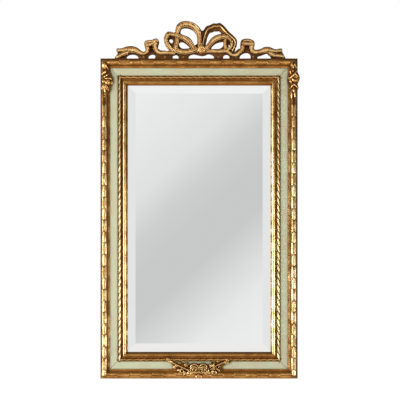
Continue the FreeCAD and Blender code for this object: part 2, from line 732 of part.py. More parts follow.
# A rose: a heart and a ring of lower petals, seated on the front of the base leaves.
# The hand is -1 for the left rose and 1 for the right one.
def rose(hand):
    x = rose_shift + hand * (rose_radius + rose_gap / 2)
    z = cartouche_middle() - rose_drop_share * cartouche_height
    root = carcass_front - cartouche_ground_rise
    front = carcass_front - cartouche_rise
    orbit = petal_orbit_share * rose_radius
    radius = petal_radius_share * rose_radius
    pieces = [boss(x, z, radius, root, front)]
    for i in range(petal_count):
        angle = math.tau * i / petal_count
        pieces.append(boss(x + orbit * math.cos(angle), z + orbit * math.sin(angle), radius, root,
                           front + (root - front) * petal_drop_share))
    return fuse_all(pieces)


def build_frame_bars():
    bars = {}
    for side in ("left", "right", "top", "bottom"):
        bars["carcass_" + side] = mitred_bar(side, rectangle_section(0, rail_width, 0, -rail_thickness))
        bars["outer_moulding_" + side] = mitred_bar(side, outer_section())
        bars["frieze_" + side] = mitred_bar(
            side, rectangle_section(outer_width, frieze_width, 0, frieze_thickness))
        bars["rope_bead_" + side] = mitred_bar(side, rope_section())
        bars["sight_moulding_" + side] = mitred_bar(side, sight_section())
    return bars


def build_hardware():
    plates = [corner_plate(*signs) for signs in corner_signs()]
    plate_face = carcass_back + corner_plate_thickness
    plate_screws = [sunk_screw(x, z, plate_face, sunk_screw_length)
                    for signs in corner_signs() for x, z in corner_plate_screw_places(*signs)]
    button_head = carcass_back + running_gap * 2 + button_thickness
    button_screws = [pan_screw(x, z, button_head, button_screw_depth) for x, z, _, _ in button_places()]
    strap_face = carcass_back + strap_thickness
    hanger_screws = [sunk_screw(x, z, strap_face, sunk_screw_length)
                     for side_x in (-1, 1) for x, z in hanger_screw_places(side_x)]
    return {
        "corner_plates": Part.makeCompound(plates).cut(Part.makeCompound(plate_screws)),
        "corner_plate_screws": Part.makeCompound(plate_screws),
        "turn_button_screws": Part.makeCompound(button_screws),
        "hanger_screws": Part.makeCompound(hanger_screws),
        "crest_braces": Part.makeCompound(braces()).cut(Part.makeCompound(brace_screws())),
        "crest_brace_screws": Part.makeCompound(brace_screws()),
        "crest_dowels": Part.makeCompound(dowels()),
        "corner_keys": Part.makeCompound([corner_key(*signs) for signs in corner_signs()]),
    }


def build_crest(dowel_group, screw_group):
    bow = crest_piece(bow_ribbon_shares, bow_foot_shares, knot())
    left = crest_piece(left_swag_shares, left_foot_shares, []).cut(bow)
    right = crest_piece(right_swag_shares, right_foot_shares, []).cut(bow)
    holes = [dowel_group, screw_group]
    return {
        "crest_bow": largest_solid(bow.cut(holes)),
        "crest_swag_left": largest_solid(left.cut(holes)),
        "crest_swag_right": largest_solid(right.cut(holes)),
    }


def build_ornaments(bars):
    top_ground = [bars[kind + side] for kind in ("outer_moulding_", "frieze_", "rope_bead_")
                  for side in ("left", "right", "top")]
    bottom_ground = [bars[kind + "bottom"] for kind in ("outer_moulding_", "frieze_", "rope_bead_",
                                                        "sight_moulding_", "carcass_")]
    half = cartouche_core_width / 2
    split = bottom_edge + pendant_height
    front = carcass_front - cartouche_rise
    core = box_between(-half, half, 0, front, split, top_edge)
    below = box_between(-half, half, 0, front, bottom_edge, split)
    base = fuse_all(cartouche_leaves(base_leaf_shares, cartouche_ground_rise)).common(core)
    pendant = fuse_all(cartouche_leaves(pendant_leaf_shares, cartouche_rise)).common(below)
    return {
        "corner_drop_left": corner_drop(-1, left_leaf_shares, left_fruit_shares, top_ground),
        "corner_drop_right": corner_drop(1, right_leaf_shares, right_fruit_shares, top_ground),
        "rose_left": largest_solid(rose(-1)),
        "rose_right": largest_solid(rose(1)),
        "cartouche_leaves": largest_solid(base.cut(bottom_ground)),
        "leaf_pendant": largest_solid(pendant.cut(bottom_ground)),
        "spray_left": spray(left_stem_shares, left_spray_shares, left_berry_shares, bottom_ground),
        "spray_right": spray(right_stem_shares, right_spray_shares, right_berry_shares, bottom_ground),
    }


def main():
    bars = build_frame_bars()
    hardware = build_hardware()
    crest = build_crest(hardware["crest_dowels"], hardware["crest_brace_screws"])
    ornaments = build_ornaments(bars)
    in_wood = [hardware[name] for name in ("corner_keys", "corner_plate_screws", "turn_button_screws",
                                           "hanger_screws", "crest_brace_screws", "crest_dowels")]
    for name, bar in bars.items():
        save(name, bar.cut(in_wood) if name.startswith("carcass") else bar)
    for group in (hardware, crest, ornaments):
        for name, shape in group.items():
            save(name, shape)
    save("mirror_plate", mirror_plate())
    save("silvering", panel(plate_inset, plate_back, silver_back))
    save("rebate_fillets", Part.makeCompound(rebate_fillets()))
    save("backing_board", panel(rail_width + board_clearance, board_front, carcass_back))
    save("wall_pads", Part.makeCompound(wall_pads()))
    for i, place in enumerate(button_places()):
        save("turn_button_" + str(i + 1), turn_button(*place))
    for side_x, name in ((-1, "left"), (1, "right")):
        save("hanger_strap_" + name, hanger_strap(side_x).cut(hardware["hanger_screws"]))
        save("hanger_ring_" + name, hanger_ring(side_x))


main()
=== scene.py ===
import bmesh
import bpy
import math
import random
from mathutils import Matrix, Vector


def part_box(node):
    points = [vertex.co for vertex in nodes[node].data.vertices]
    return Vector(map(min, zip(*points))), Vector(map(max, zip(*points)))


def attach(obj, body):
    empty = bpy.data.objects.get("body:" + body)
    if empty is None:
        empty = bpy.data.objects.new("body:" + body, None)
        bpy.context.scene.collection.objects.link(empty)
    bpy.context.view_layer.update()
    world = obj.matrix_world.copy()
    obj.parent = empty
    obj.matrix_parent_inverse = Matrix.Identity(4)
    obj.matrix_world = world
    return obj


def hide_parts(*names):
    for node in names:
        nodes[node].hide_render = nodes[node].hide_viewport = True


# Upright giltwood mirror: laurel moulding, painted frieze, rope bead, sight bead, bevelled plate,
# ribbon crest, fruit drops and a rose cartouche. Metres, front towards -Y.
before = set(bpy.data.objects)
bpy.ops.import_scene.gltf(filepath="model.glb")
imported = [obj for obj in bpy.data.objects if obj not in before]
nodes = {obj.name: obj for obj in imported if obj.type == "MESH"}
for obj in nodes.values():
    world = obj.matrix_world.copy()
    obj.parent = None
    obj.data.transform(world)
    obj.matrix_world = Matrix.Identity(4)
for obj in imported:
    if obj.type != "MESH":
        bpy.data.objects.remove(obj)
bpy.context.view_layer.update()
mm = 0.001

# The photograph's frame, 400 px wide, and how its pixels fall on the mirror's front
photo = {
    "size": 400,
    "middleColumn": 199.05,   # px of the mirror's middle line
    "topRow": 58.15,          # px of the frame's top edge
    "pixel": 3.2911 * mm,
    "frontPlane": -0.040,     # depth at which a pixel has that size
    "lens": 70,
    "sensor": 36,
}

carcassLow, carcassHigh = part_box("carcass_left")
leftEdge = carcassLow.x
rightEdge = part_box("carcass_right")[1].x
bottomEdge = carcassLow.z
topEdge = carcassHigh.z
groundFace = carcassLow.y     # front of the carcass, where every moulding starts

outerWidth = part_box("outer_moulding_left")[1].x - leftEdge
friezeLow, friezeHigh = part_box("frieze_left")
friezeWidth = friezeHigh.x - leftEdge - outerWidth
friezeRise = groundFace - friezeLow.y
ropeInset = outerWidth + friezeWidth
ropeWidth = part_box("rope_bead_left")[1].x - leftEdge - ropeInset
sightInset = ropeInset + ropeWidth
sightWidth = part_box("sight_moulding_left")[1].x - leftEdge - sightInset

cameraDistance = photo["lens"] * photo["size"] * photo["pixel"] / photo["sensor"]
cameraX = (photo["size"] / 2 - photo["middleColumn"]) * photo["pixel"]
cameraZ = topEdge - (photo["size"] / 2 - photo["topRow"]) * photo["pixel"]


def sightPoint(px, py, y):
    # the point at depth y that the camera sees at this pixel of the photograph
    scale = photo["pixel"] * (cameraDistance + y - photo["frontPlane"]) / cameraDistance
    middle = photo["size"] / 2
    return Vector((cameraX + (px - middle) * scale, y, cameraZ - (py - middle) * scale))


# Small helpers for meshes. A shell is (vertices, faces, attributes) of one closed surface.

def putMesh(name, vertices, faces, attributes=None):
    mesh = bpy.data.meshes.new(name)
    mesh.from_pydata([tuple(v) for v in vertices], [], faces)
    mesh.update()
    for key, values in (attributes or {}).items():
        isVector = isinstance(values[0], tuple)
        layer = mesh.attributes.new(key, "FLOAT_VECTOR" if isVector else "FLOAT", "POINT")
        for item, value in zip(layer.data, values):
            setattr(item, "vector" if isVector else "value", value)
    mesh.polygons.foreach_set("use_smooth", [True] * len(mesh.polygons))
    piece = bpy.data.objects.new(name, mesh)
    bpy.context.scene.collection.objects.link(piece)
    return piece


def faceOutward(piece):
    # turns a closed mesh right side out by the sign of its volume
    volume = 0.0
    for polygon in piece.data.polygons:
        corners = [piece.data.vertices[i].co for i in polygon.vertices]
        for i in range(1, len(corners) - 1):
            volume += corners[0].dot(corners[i].cross(corners[i + 1]))
    if volume < 0:
        piece.data.flip_normals()
    return piece


def tubeFaces(rings, count):
    # a closed section carried through its rings and capped at both ends
    faces = []
    for row in range(rings - 1):
        for i in range(count):
            a = row * count + i
            b = row * count + (i + 1) % count
            faces.append((a, b, b + count, a + count))
    last = (rings - 1) * count
    return faces + [tuple(range(count)), tuple(last + i for i in reversed(range(count)))]


def sheetFaces(rows, columns):
    # a domed sheet, closed by one flat face inside its rim
    faces = []
    for i in range(rows - 1):
        for a in range(i * columns, (i + 1) * columns - 1):
            faces.append((a, a + 1, a + 1 + columns, a + columns))
    last = (rows - 1) * columns
    rim = list(range(columns)) + [i * columns + columns - 1 for i in range(1, rows)]
    rim += list(range(last + columns - 2, last - 1, -1)) + [i * columns for i in range(rows - 2, 0, -1)]
    return faces + [tuple(reversed(rim))]


def joinShells(name, shells, floorZ=-math.inf):
    # one mesh out of several closed shells, nothing of it under floorZ
    vertices = []
    faces = []
    layers = {}
    for points, polygons, attributes in shells:
        shell = faceOutward(putMesh("shell", points, polygons))
        start = len(vertices)
        faces += [tuple(start + i for i in polygon.vertices) for polygon in shell.data.polygons]
        vertices += [(p.x, p.y, max(p.z, floorZ)) for p in points]
        for key, values in attributes.items():
            layers.setdefault(key, []).extend(values)
        bpy.data.objects.remove(shell)
    return putMesh(name, vertices, faces, layers)


def settle(piece, slotName, *nodeNames):
    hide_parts(*nodeNames)
    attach(piece, "frame")


def smoothStep(value):
    value = min(max(value, 0.0), 1.0)
    return value * value * (3 - 2 * value)


def throughPoints(points, steps):
    # a smooth curve through rows of numbers, with so many steps from each row to the next
    rows = []
    count = len(points)
    for i in range(count - 1):
        ends = list(zip(points[max(i - 1, 0)], points[i], points[i + 1], points[min(i + 2, count - 1)]))
        for step in range(steps):
            t = step / steps
            rows.append([0.5 * (2 * b + (c - a) * t + (2 * a - 5 * b + 4 * c - d) * t * t
                                + (3 * b - a - 3 * c + d) * t ** 3) for a, b, c, d in ends])
    rows.append(list(points[-1]))
    return rows


# Materials. Colours are sRGB hex, turned linear by one function.

def hexColor(code):
    channels = [int(code[i:i + 2], 16) / 255 for i in (1, 3, 5)]
    linear = [c / 12.92 if c <= 0.04045 else ((c + 0.055) / 1.055) ** 2.4 for c in channels]
    return (*linear, 1.0)


def feed(tree, node, inputs):
    # sockets are linked and plain values set, by the input's name or in the node's own order
    for key, value in inputs.items() if isinstance(inputs, dict) else enumerate(inputs):
        if isinstance(value, bpy.types.NodeSocket):
            tree.links.new(value, node.inputs[key])
        else:
            node.inputs[key].default_value = value


def addNode(tree, kind, inputs=(), output=0, stops=(), **settings):
    # gives the output asked for, or all of them when it is None; stops are a colour ramp's
    node = tree.nodes.new(kind)
    for key, value in settings.items():
        setattr(node, key, value)
    for i, (place, code) in enumerate(stops):
        elements = node.color_ramp.elements
        element = elements[i] if i < len(elements) else elements.new(1.0)
        element.position = place
        element.color = hexColor(code)
    feed(tree, node, inputs)
    return node.outputs if output is None else node.outputs[output]


def newMaterial(name):
    material = bpy.data.materials.new(name)
    material.use_nodes = True
    tree = material.node_tree
    place = addNode(tree, "ShaderNodeTexCoord", output="Object")
    return material, tree, tree.nodes["Principled BSDF"], place


gilding = {
    "leafPale": "#F0D9A0",      # burnished leaf on the mouldings
    "leafWarm": "#BF985A",      # leaf toned with size
    "carvedPale": "#EBBF76",    # the same two on the applied carving, which was toned warmer
    "carvedWarm": "#BC7F36",
    "crestPale": "#F6D18C",     # on the crest's ribbons
    "crestWarm": "#B97A33",
    "rubbedPale": "#F0B068",    # on the shell, most of it rubbed through
    "shadedRailPale": "#E0AC60",      # and on the level members, in painted shade: darker and warmer than on the stiles
    "shadedRailWarm": "#A9702C",
    "bole": "#7C4E20",          # brown bole under worn leaf
    "sootAndShade": "#432A10",          # old wax and dust in the hollows, and painted shade on walls and undersides
    "rampPlaces": (0.0, 0.30, 0.62, 1.0),   # where pale leaf, warm leaf, bole and soot stand, from clean and lit to dirty and in painted shade
    # What moves the tone along them: from, to, the change at each end
    "shut": (0.25, 0.85, 0.66, 0.0),        # painted shade and dirt in recesses, by how open the surface is
    "mottle": (0.3, 0.7, -0.16, 0.20),
    "speck": (0.3, 0.7, -0.14, 0.14),
    "crest": (0.49, 0.56, 0.0, -0.28),      # painted highlight, by how sharp an edge is
    "topShadeHeights": (-0.27, -0.04),           # painted shade: the stiles grow browner upwards over these heights
    "recessReach": 0.005,       # how deep a hollow still takes painted shade and dirt, m
    "boleShine": 0.15,
    "waxWeight": 0.6,           # beeswax over the clean leaf
    "waxIor": 1.7,
    "waxRoughness": 0.26,
    "wrinkle": 900,             # leaf wrinkles, about 1 mm
    "cloud": 38,                # toning patches, about 26 mm
    "fine": 304,                # and their grain, about 3 mm
    "pits": 150,                # punched pits about 7 mm apart, as coarse as they show in the photograph
    "pitEdge": (0.16, 0.40, 1.0, 0.0),
}


def gildedWood(name, pale, warm, wearAndShade, polish=0.0, stipple=False, leaf=0.88, topShade=0.0):
    # Water-gilded carved lime: gold leaf on brown bole, a painted highlight on the crests, dirt and painted
    # shade brown in the hollows
    material, tree, shader, place = newMaterial(name)
    cloud, fine, wrinkle = [
        addNode(tree, "ShaderNodeTexNoise", {"Vector": place, "Scale": gilding[key], "Detail": detail})
        for key, detail in (("cloud", 4.0), ("fine", 3.0), ("wrinkle", 2.0))]
    reach = {"Distance": gilding["recessReach"]}
    recess = addNode(tree, "ShaderNodeAmbientOcclusion", reach, "AO", samples=8)
    edges = addNode(tree, "ShaderNodeNewGeometry", output="Pointiness")
    # painted shade and the dirt of the hollows, given per point by the meshes
    tone = addNode(tree, "ShaderNodeAttribute", output="Fac", attribute_name="hollow")
    for cause, key in ((recess, "shut"), (cloud, "mottle"), (fine, "speck"), (edges, "crest")):
        change = addNode(tree, "ShaderNodeMapRange", (cause, *gilding[key]))
        tone = addNode(tree, "ShaderNodeMath", (tone, change), operation="ADD")
    # one tone for the whole finish: wear, and on the level members painted shade
    tone = addNode(tree, "ShaderNodeMath", (tone, wearAndShade), operation="ADD", use_clamp=True)
    # painted shade: browner towards the top
    if topShade:
        height = addNode(tree, "ShaderNodeSeparateXYZ", (place,), "Z")
        paintedShade = addNode(tree, "ShaderNodeMapRange", (height, *gilding["topShadeHeights"], 0.0, topShade))
        tone = addNode(tree, "ShaderNodeMath", (tone, paintedShade), operation="ADD", use_clamp=True)
    if stipple:
        lay = addNode(tree, "ShaderNodeAttribute", output="Vector", attribute_name="lay")
        pits = addNode(tree, "ShaderNodeTexVoronoi", {"Vector": lay, "Scale": gilding["pits"],
                                                      "Randomness": 0.7})
        pit = addNode(tree, "ShaderNodeMapRange", (pits, *gilding["pitEdge"]))
        channel = addNode(tree, "ShaderNodeAttribute", output="Fac", attribute_name="channel")
        punched = addNode(tree, "ShaderNodeMath", (pit, channel), operation="MULTIPLY")
        tone = addNode(tree, "ShaderNodeMath", (punched, 0.75, tone), operation="MULTIPLY_ADD",
                       use_clamp=True)
    normal = addNode(tree, "ShaderNodeBump", {"Height": wrinkle, "Strength": 0.25, "Distance": 0.0004})
    normal = addNode(tree, "ShaderNodeBump", {"Height": fine, "Strength": 0.12, "Distance": 0.0010,
                                              "Normal": normal})
    if stipple:
        normal = addNode(tree, "ShaderNodeBump", {"Height": punched, "Strength": 0.8, "Distance": 0.0016,
                                                  "Normal": normal}, invert=True)
    codes = [gilding[key] for key in (pale, warm, "bole", "sootAndShade")]
    feed(tree, shader, {
        "Base Color": addNode(tree, "ShaderNodeValToRGB", (tone,), stops=zip(gilding["rampPlaces"], codes)),
        "Metallic": addNode(tree, "ShaderNodeMapRange", (tone, 0.1, 0.8, leaf, 0.10)),
        "Roughness": addNode(tree, "ShaderNodeMapRange", (tone, 0.0, 0.8, 0.30 - polish * 0.1, 0.62)),
        "Coat Weight": addNode(tree, "ShaderNodeMapRange", (tone, 0.05, 0.45, gilding["waxWeight"], 0.0)),
        "Specular IOR Level": gilding["boleShine"],
        "Coat IOR": gilding["waxIor"],
        "Coat Roughness": gilding["waxRoughness"],
        "Normal": normal,
    })
    return material


paint = {
    "sage": "#CFD4B4",
    "beige": "#D1C9AA",
    "grimeAndShade": "#8C8660",
    "speck": "#6F6A4A",
    # dark joints at the mitres, and painted shade on the board's long edges
    "mitre": "#54482C",
    "patch": 22,       # beige patches, about 45 mm
    "brush": 420,      # brush lines, about 2.4 mm apart
    "dots": 95,        # specks, about 10 mm apart, in some places only
    "places": 60,
    "recessReach": 0.006,
    # How much of each lies over the sage: from, to, the share at each end
    "patchShare": (0.42, 0.68, 0.0, 1.0),
    "streakShare": (0.3, 0.7, 0.0, 0.16),
    "dotShare": (0.04, 0.13, 0.6, 0.0),
    "placeShare": (0.52, 0.60, 0.0, 1.0),
    # painted shade by the mouldings, in the grime colour
    "shutShare": (0.5, 1.0, 0.85, 0.0),
}


def paintedFrieze(name):
    # Sage green distemper over gesso: brushed lengthways, yellowed in patches, with painted shade along its
    # edges
    material, tree, shader, place = newMaterial(name)
    lay = addNode(tree, "ShaderNodeAttribute", output="Vector", attribute_name="lay")
    hollow = addNode(tree, "ShaderNodeAttribute", output="Fac", attribute_name="hollow")
    drawn = addNode(tree, "ShaderNodeMapping", {"Vector": lay, "Scale": (0.06, 1.0, 1.0)})
    patch, brush, places = [
        addNode(tree, "ShaderNodeTexNoise", {"Vector": vector, "Scale": paint[key], "Detail": detail})
        for vector, key, detail in ((place, "patch", 3.0), (drawn, "brush", 2.0), (place, "places", 1.0))]
    dots = addNode(tree, "ShaderNodeTexVoronoi", {"Vector": place, "Scale": paint["dots"]})
    recess = addNode(tree, "ShaderNodeAmbientOcclusion", {"Distance": paint["recessReach"]}, "AO", samples=8)
    patched, streaked, dotted, some, shut = [
        addNode(tree, "ShaderNodeMapRange", (cause, *paint[key]))
        for cause, key in ((patch, "patchShare"), (brush, "streakShare"), (dots, "dotShare"),
                           (places, "placeShare"), (recess, "shutShare"))]
    specked = addNode(tree, "ShaderNodeMath", (dotted, some), operation="MULTIPLY")
    color = hexColor(paint["sage"])
    for share, over in ((patched, "beige"), (streaked, "grimeAndShade"), (specked, "speck"), (shut, "grimeAndShade"),
                        (hollow, "mitre")):
        color = addNode(tree, "ShaderNodeMix", {0: share, 6: color, 7: hexColor(paint[over])}, 2,
                        data_type="RGBA")
    bump = addNode(tree, "ShaderNodeBump", {"Height": brush, "Strength": 0.35, "Distance": 0.0003})
    feed(tree, shader, {"Base Color": color, "Roughness": 0.62, "Normal": bump})
    return material


def sawnPine(name, grain, light="#B08A58", dark="#7C5830"):
    # Planed pine, toned brown: growth lines along the rail, about 4 mm apart, and broad darker bands
    material, tree, shader, place = newMaterial(name)
    drawn = addNode(tree, "ShaderNodeMapping", {"Vector": place, "Scale": grain})
    rings = addNode(tree, "ShaderNodeTexNoise", {"Vector": drawn, "Scale": 240.0, "Detail": 4.0})
    broad = addNode(tree, "ShaderNodeTexNoise", {"Vector": place, "Scale": 9.0, "Detail": 2.0})
    both = addNode(tree, "ShaderNodeMath", (rings, 0.7), operation="MULTIPLY")
    both = addNode(tree, "ShaderNodeMath", (broad, 0.3, both), operation="MULTIPLY_ADD")
    feed(tree, shader, {
        "Base Color": addNode(tree, "ShaderNodeValToRGB", (both,), stops=((0.35, dark), (0.65, light))),
        "Roughness": 0.7,
        "Normal": addNode(tree, "ShaderNodeBump", {"Height": rings, "Strength": 0.3, "Distance": 0.0003}),
    })
    return material


def silveredPlate(name):
    # Silvered float plate: a clean reflection, very faintly wavy
    material, tree, shader, place = newMaterial(name)
    wave = addNode(tree, "ShaderNodeTexNoise", {"Vector": place, "Scale": 3.0, "Detail": 1.0})
    haze = addNode(tree, "ShaderNodeTexNoise", {"Vector": place, "Scale": 14.0, "Detail": 5.0})
    feed(tree, shader, {
        "Base Color": addNode(tree, "ShaderNodeValToRGB", (haze,),
                              stops=((0.0, "#F8F9F9"), (1.0, "#F5F6F6"))),
        "Metallic": 1.0,
        "Roughness": 0.02,
        "Normal": addNode(tree, "ShaderNodeBump", {"Height": wave, "Strength": 0.05, "Distance": 0.002}),
    })
    return material


def workedMetal(name, code, metallic, roughness, scale):
    # Sheet or drawn metal: fine scratches and a dull film of handling
    material, tree, shader, place = newMaterial(name)
    film = addNode(tree, "ShaderNodeTexNoise", {"Vector": place, "Scale": scale, "Detail": 5.0})
    clean = hexColor(code)
    dull = tuple(c * 0.6 for c in clean[:3]) + (1.0,)
    feed(tree, shader, {
        "Base Color": addNode(tree, "ShaderNodeMix", {0: film, 6: clean, 7: dull}, 2, data_type="RGBA"),
        "Metallic": metallic,
        "Roughness": addNode(tree, "ShaderNodeMapRange", (film, 0.0, 1.0, roughness * 0.7, roughness * 1.4)),
        "Normal": addNode(tree, "ShaderNodeBump", {"Height": film, "Strength": 0.2, "Distance": 0.0002}),
    })
    return material


def woolFelt(name):
    # Pressed wool felt: matt and fibrous
    material, tree, shader, place = newMaterial(name)
    fibre = addNode(tree, "ShaderNodeTexNoise", {"Vector": place, "Scale": 1400.0, "Detail": 6.0})
    feed(tree, shader, {
        "Base Color": addNode(tree, "ShaderNodeValToRGB", (fibre,),
                              stops=((0.3, "#2B241E"), (0.7, "#4A4037"))),
        "Roughness": 0.95,
        "Normal": addNode(tree, "ShaderNodeBump", {"Height": fibre, "Strength": 0.7, "Distance": 0.0006}),
    })
    return material


# Gilded lime: the stiles' laurel and rope, and the same on the level members in painted shade, darker and
# warmer
stileGilding = gildedWood("water_gilded_stiles", "leafPale", "leafWarm", 0.22, topShade=0.16)
shadedRailGilding = gildedWood("rail_gilding", "shadedRailPale", "shadedRailWarm", 0.22)
# the sight beads, burnished with an agate, and the same in painted shade on the level members
burnishedGilding = gildedWood("burnished_gilding", "crestPale", "leafWarm", 0.10, polish=1.0)
shadedBurnishedRail = gildedWood("burnished_rail_gilding", "shadedRailPale", "shadedRailWarm", 0.20, polish=1.0)
# the corner drops, the roses and sprays, the shell rubbed through to its bole, the crest's punched ground
tonedGilding = gildedWood("toned_gilded_carving", "carvedPale", "carvedWarm", 0.13)
roseGilding = gildedWood("rose_gilding", "crestPale", "crestWarm", 0.05)
rubbedGilding = gildedWood("rubbed_gilding", "rubbedPale", "crestWarm", 0.05, leaf=0.30)
punchedGilding = gildedWood("punched_gilding", "crestPale", "crestWarm", 0.16, stipple=True)
sagePaint = paintedFrieze("sage_distemper")
# The back: planed pine toned brown, birch plywood, turned beech pegs
uprightPine = sawnPine("planed_pine_upright", (1.0, 1.0, 0.05))
levelPine = sawnPine("planed_pine_level", (0.05, 1.0, 1.0))
backingPly = sawnPine("birch_ply", (1.0, 1.0, 0.08), "#A98A63", "#8C6C45")
turnedBeech = sawnPine("turned_beech", (1.0, 1.0, 0.1), "#B58B62", "#946B44")
# The plate and the paint on its silvering
plateFinish = silveredPlate("silvered_plate")
silverPaint = workedMetal("silvering_back_paint", "#6E665C", 0.0, 0.6, 40.0)
# Zinc-plated steel straps and plates, drawn steel screws, pressed brass buttons, felt pads
zincSteel = workedMetal("zinc_plated_steel", "#B9BABB", 1.0, 0.32, 160.0)
screwSteel = workedMetal("bright_screw_steel", "#C4C2BE", 1.0, 0.28, 300.0)
dullBrass = workedMetal("pressed_brass", "#B8924A", 1.0, 0.35, 150.0)
padFelt = woolFelt("wool_felt")
print("materials ready")


# Mouldings: a closed section swept along each side, cut at the mitres

upwards = Vector((0, 0, 1))
acrossFront = Vector((1, 0, 0))
bottomLeft = Vector((leftEdge, 0, bottomEdge))
bottomRight = Vector((rightEdge, 0, bottomEdge))
topLeft = Vector((leftEdge, 0, topEdge))
# Of each side: its outer corner, the way it runs, the way inwards, its length
sideLayout = {
    "left": (bottomLeft, upwards, acrossFront, topEdge - bottomEdge),
    "right": (bottomRight, upwards, -acrossFront, topEdge - bottomEdge),
    "top": (topLeft, acrossFront, -upwards, rightEdge - leftEdge),
    "bottom": (bottomLeft, acrossFront, upwards, rightEdge - leftEdge),
}
sides = tuple(sideLayout)
uprights = sides[:2]
rails = sides[2:]
moulding = {
    "rowStep": 14 * mm,
    "seamWidth": 1.6 * mm,       # the open line at a mitre
    "seamEdge": 0.6 * mm,
    "seamDepth": 0.5 * mm,
    "waver": 0.12 * mm,
    "layStep": 1.7,              # keeps the brush lines of the four sides apart
}


def sidePoint(side, along, inward, rise):
    corner, run, inner, length = sideLayout[side]
    point = corner + run * along + inner * inward
    point.y = groundFace - rise
    return point


def sweptMoulding(name, side, section, seed, seamDark=0.55, trimFrom=0.0, trims=None):
    # section: (inward, rise, painted shade and dirt) all the way round, the flat back last
    # trims: how much narrower each side is past trimFrom; the mitres follow both widths
    length = sideLayout[side][3]
    rows = max(int(length / moulding["rowStep"]), 4)
    wander = random.Random(seed)
    ends = [0.0, moulding["seamEdge"] / length, moulding["seamWidth"] / length]
    shares = ends + [i / rows for i in range(1, rows)] + [1 - share for share in reversed(ends)]
    neighbours = ("bottom", "top") if side in uprights else ("left", "right")
    full = max(point[0] for point in section)
    vertices = []
    hollow = []
    lay = []

    def trimmed(inward, other):
        return inward - trims[other] * max(inward - trimFrom, 0.0) / (full - trimFrom) if trims else inward

    for share in shares:
        toEnd = min(share, 1 - share) * length
        seam = 1 - smoothStep(toEnd / moulding["seamWidth"])
        shake = wander.uniform(-1, 1) * moulding["waver"] * (1 - seam)
        for inward, rise, shade in section:
            begin, finish = (trimmed(inward, other) for other in neighbours)
            inward = trimmed(inward, side)
            along = begin + (length - begin - finish) * share
            lift = rise - seam * moulding["seamDepth"] + shake if rise > 1 * mm else rise
            vertices.append(sidePoint(side, along, inward, lift))
            hollow.append(min(shade + seam * seamDark, 1.0))
            lay.append((along, inward, sides.index(side) * moulding["layStep"]))
    faces = tubeFaces(len(shares), len(section))
    return faceOutward(putMesh(name, vertices, faces, {"hollow": hollow, "lay": lay}))


def arcPoints(start, top, end, steps, shades):
    # circular arc through three (inward, rise) points, shaded from its foot to its crown
    (ax, ay), (bx, by), (cx, cy) = start, top, end
    a, b, c = (x * x + y * y for x, y in (start, top, end))
    d = 2 * (ax * (by - cy) + bx * (cy - ay) + cx * (ay - by))
    ux = (a * (by - cy) + b * (cy - ay) + c * (ay - by)) / d
    uy = (a * (cx - bx) + b * (ax - cx) + c * (bx - ax)) / d
    radius = math.hypot(ax - ux, ay - uy)
    first, middle, last = (math.atan2(y - uy, x - ux) for x, y in (start, top, end))
    sweep = (last - first) % math.tau
    if (middle - first) % math.tau > sweep:
        sweep -= math.tau
    points = []
    for i in range(steps + 1):
        angle = first + sweep * i / steps
        shade = shades[0] + (shades[1] - shades[0]) * math.sin(math.pi * i / steps)
        points.append((ux + radius * math.cos(angle), uy + radius * math.sin(angle), shade))
    return points


# Outer moulding: the torus under the laurel, its fillets and the brown cove
outer = {
    "edgeRise": 9 * mm,
    "edgeWidth": 3.8 * mm,
    "edgeRound": 0.8 * mm,
    # painted shade on the flat outer edge, per side: darker on the left, right and top, a painted highlight
    # at the bottom
    "edgeShade": {"left": 0.74, "right": 0.72, "top": 0.62, "bottom": -0.20},
    "torusWidth": 18.6 * mm,
    "torusRise": 18.2 * mm,     # the leaves stand on it up to the solid's rise
    "torusSteps": 18,
    "parting": 0.45,            # how dark the painted shade in the line between the side leaves is
    "filletWidth": 1.6 * mm,
    "filletRise": 12 * mm,
    "coveLow": (2.1 * mm, 9 * mm),      # its lowest point, from its start, and that point's rise
    # painted shade in the cove, lighter on the top and bottom
    "coveShades": {"left": (0.20, 0.30), "right": (0.20, 0.30), "top": (0.06, 0.18), "bottom": (0.06, 0.18)},
    "footWidth": 1.5 * mm,
    "footRise": 7.6 * mm,
}

laurel = {
    "pitch": 75.9 * mm,
    "almondLength": 43 * mm,
    "firstUnit": -9.4 * mm,     # from the bottom corner up each stile; this first leaf is cut short there
    "firstCut": 19 * mm,
    "dropRoom": 115 * mm,       # left plain behind each corner drop
    "railUnits": 4,             # to each side of a rail's middle
    "railRelief": 0.45,           # share of the relief, and of the painted shade at the leaves' partings, inner edges and ends, left on the top and bottom rails
    "pairStart": 37 * mm,
    "pairEnd": 81 * mm,
    "relief": 1.7 * mm,
    "bedded": 0.8 * mm,         # how deep a leaf's wall goes into the torus
    # A leaf's half width is (share of the torus's half) * sin(pi * (start + span * way along)) ** roundness.
    # Then its share of the relief and its midrib's depth.
    "almond": (0.74, 0.10, 0.90, 0.75, 1.0, 0.06),
    "pair": (0.40, 0.08, 0.86, 0.50, 0.8, 0.04),
    "tipWidth": 0.2 * mm,
    "lift": (0.10, 0.86, 0.6),  # its height follows the same curve: start, span, roundness
    "dome": 0.55,               # how much lower its edges lie than its middle
    "ribWidth": 0.16,           # share of the half width
    "pairPlace": 0.51,          # the pair's middle lines, share of the torus's half
    "pairSpread": 0.05,         # and how much further out their tips are
    "paintedShade": (9.6 * mm, 3.4 * mm, 0.30),   # painted shade browning the stiles' outer flank: from, over, how much
    "jitter": 0.02,
    "seed": 7,
}
torusMiddle = outer["edgeWidth"] + outer["torusWidth"] / 2
torusHalf = outer["torusWidth"] / 2


def torusRise(inward):
    # height of the torus at a distance from the outer edge
    share = (inward - torusMiddle) / torusHalf
    base = outer["edgeRise"] + (outer["filletRise"] - outer["edgeRise"]) * (share + 1) / 2
    return base + (outer["torusRise"] - base) * math.sqrt(max(1 - share * share, 0.0))


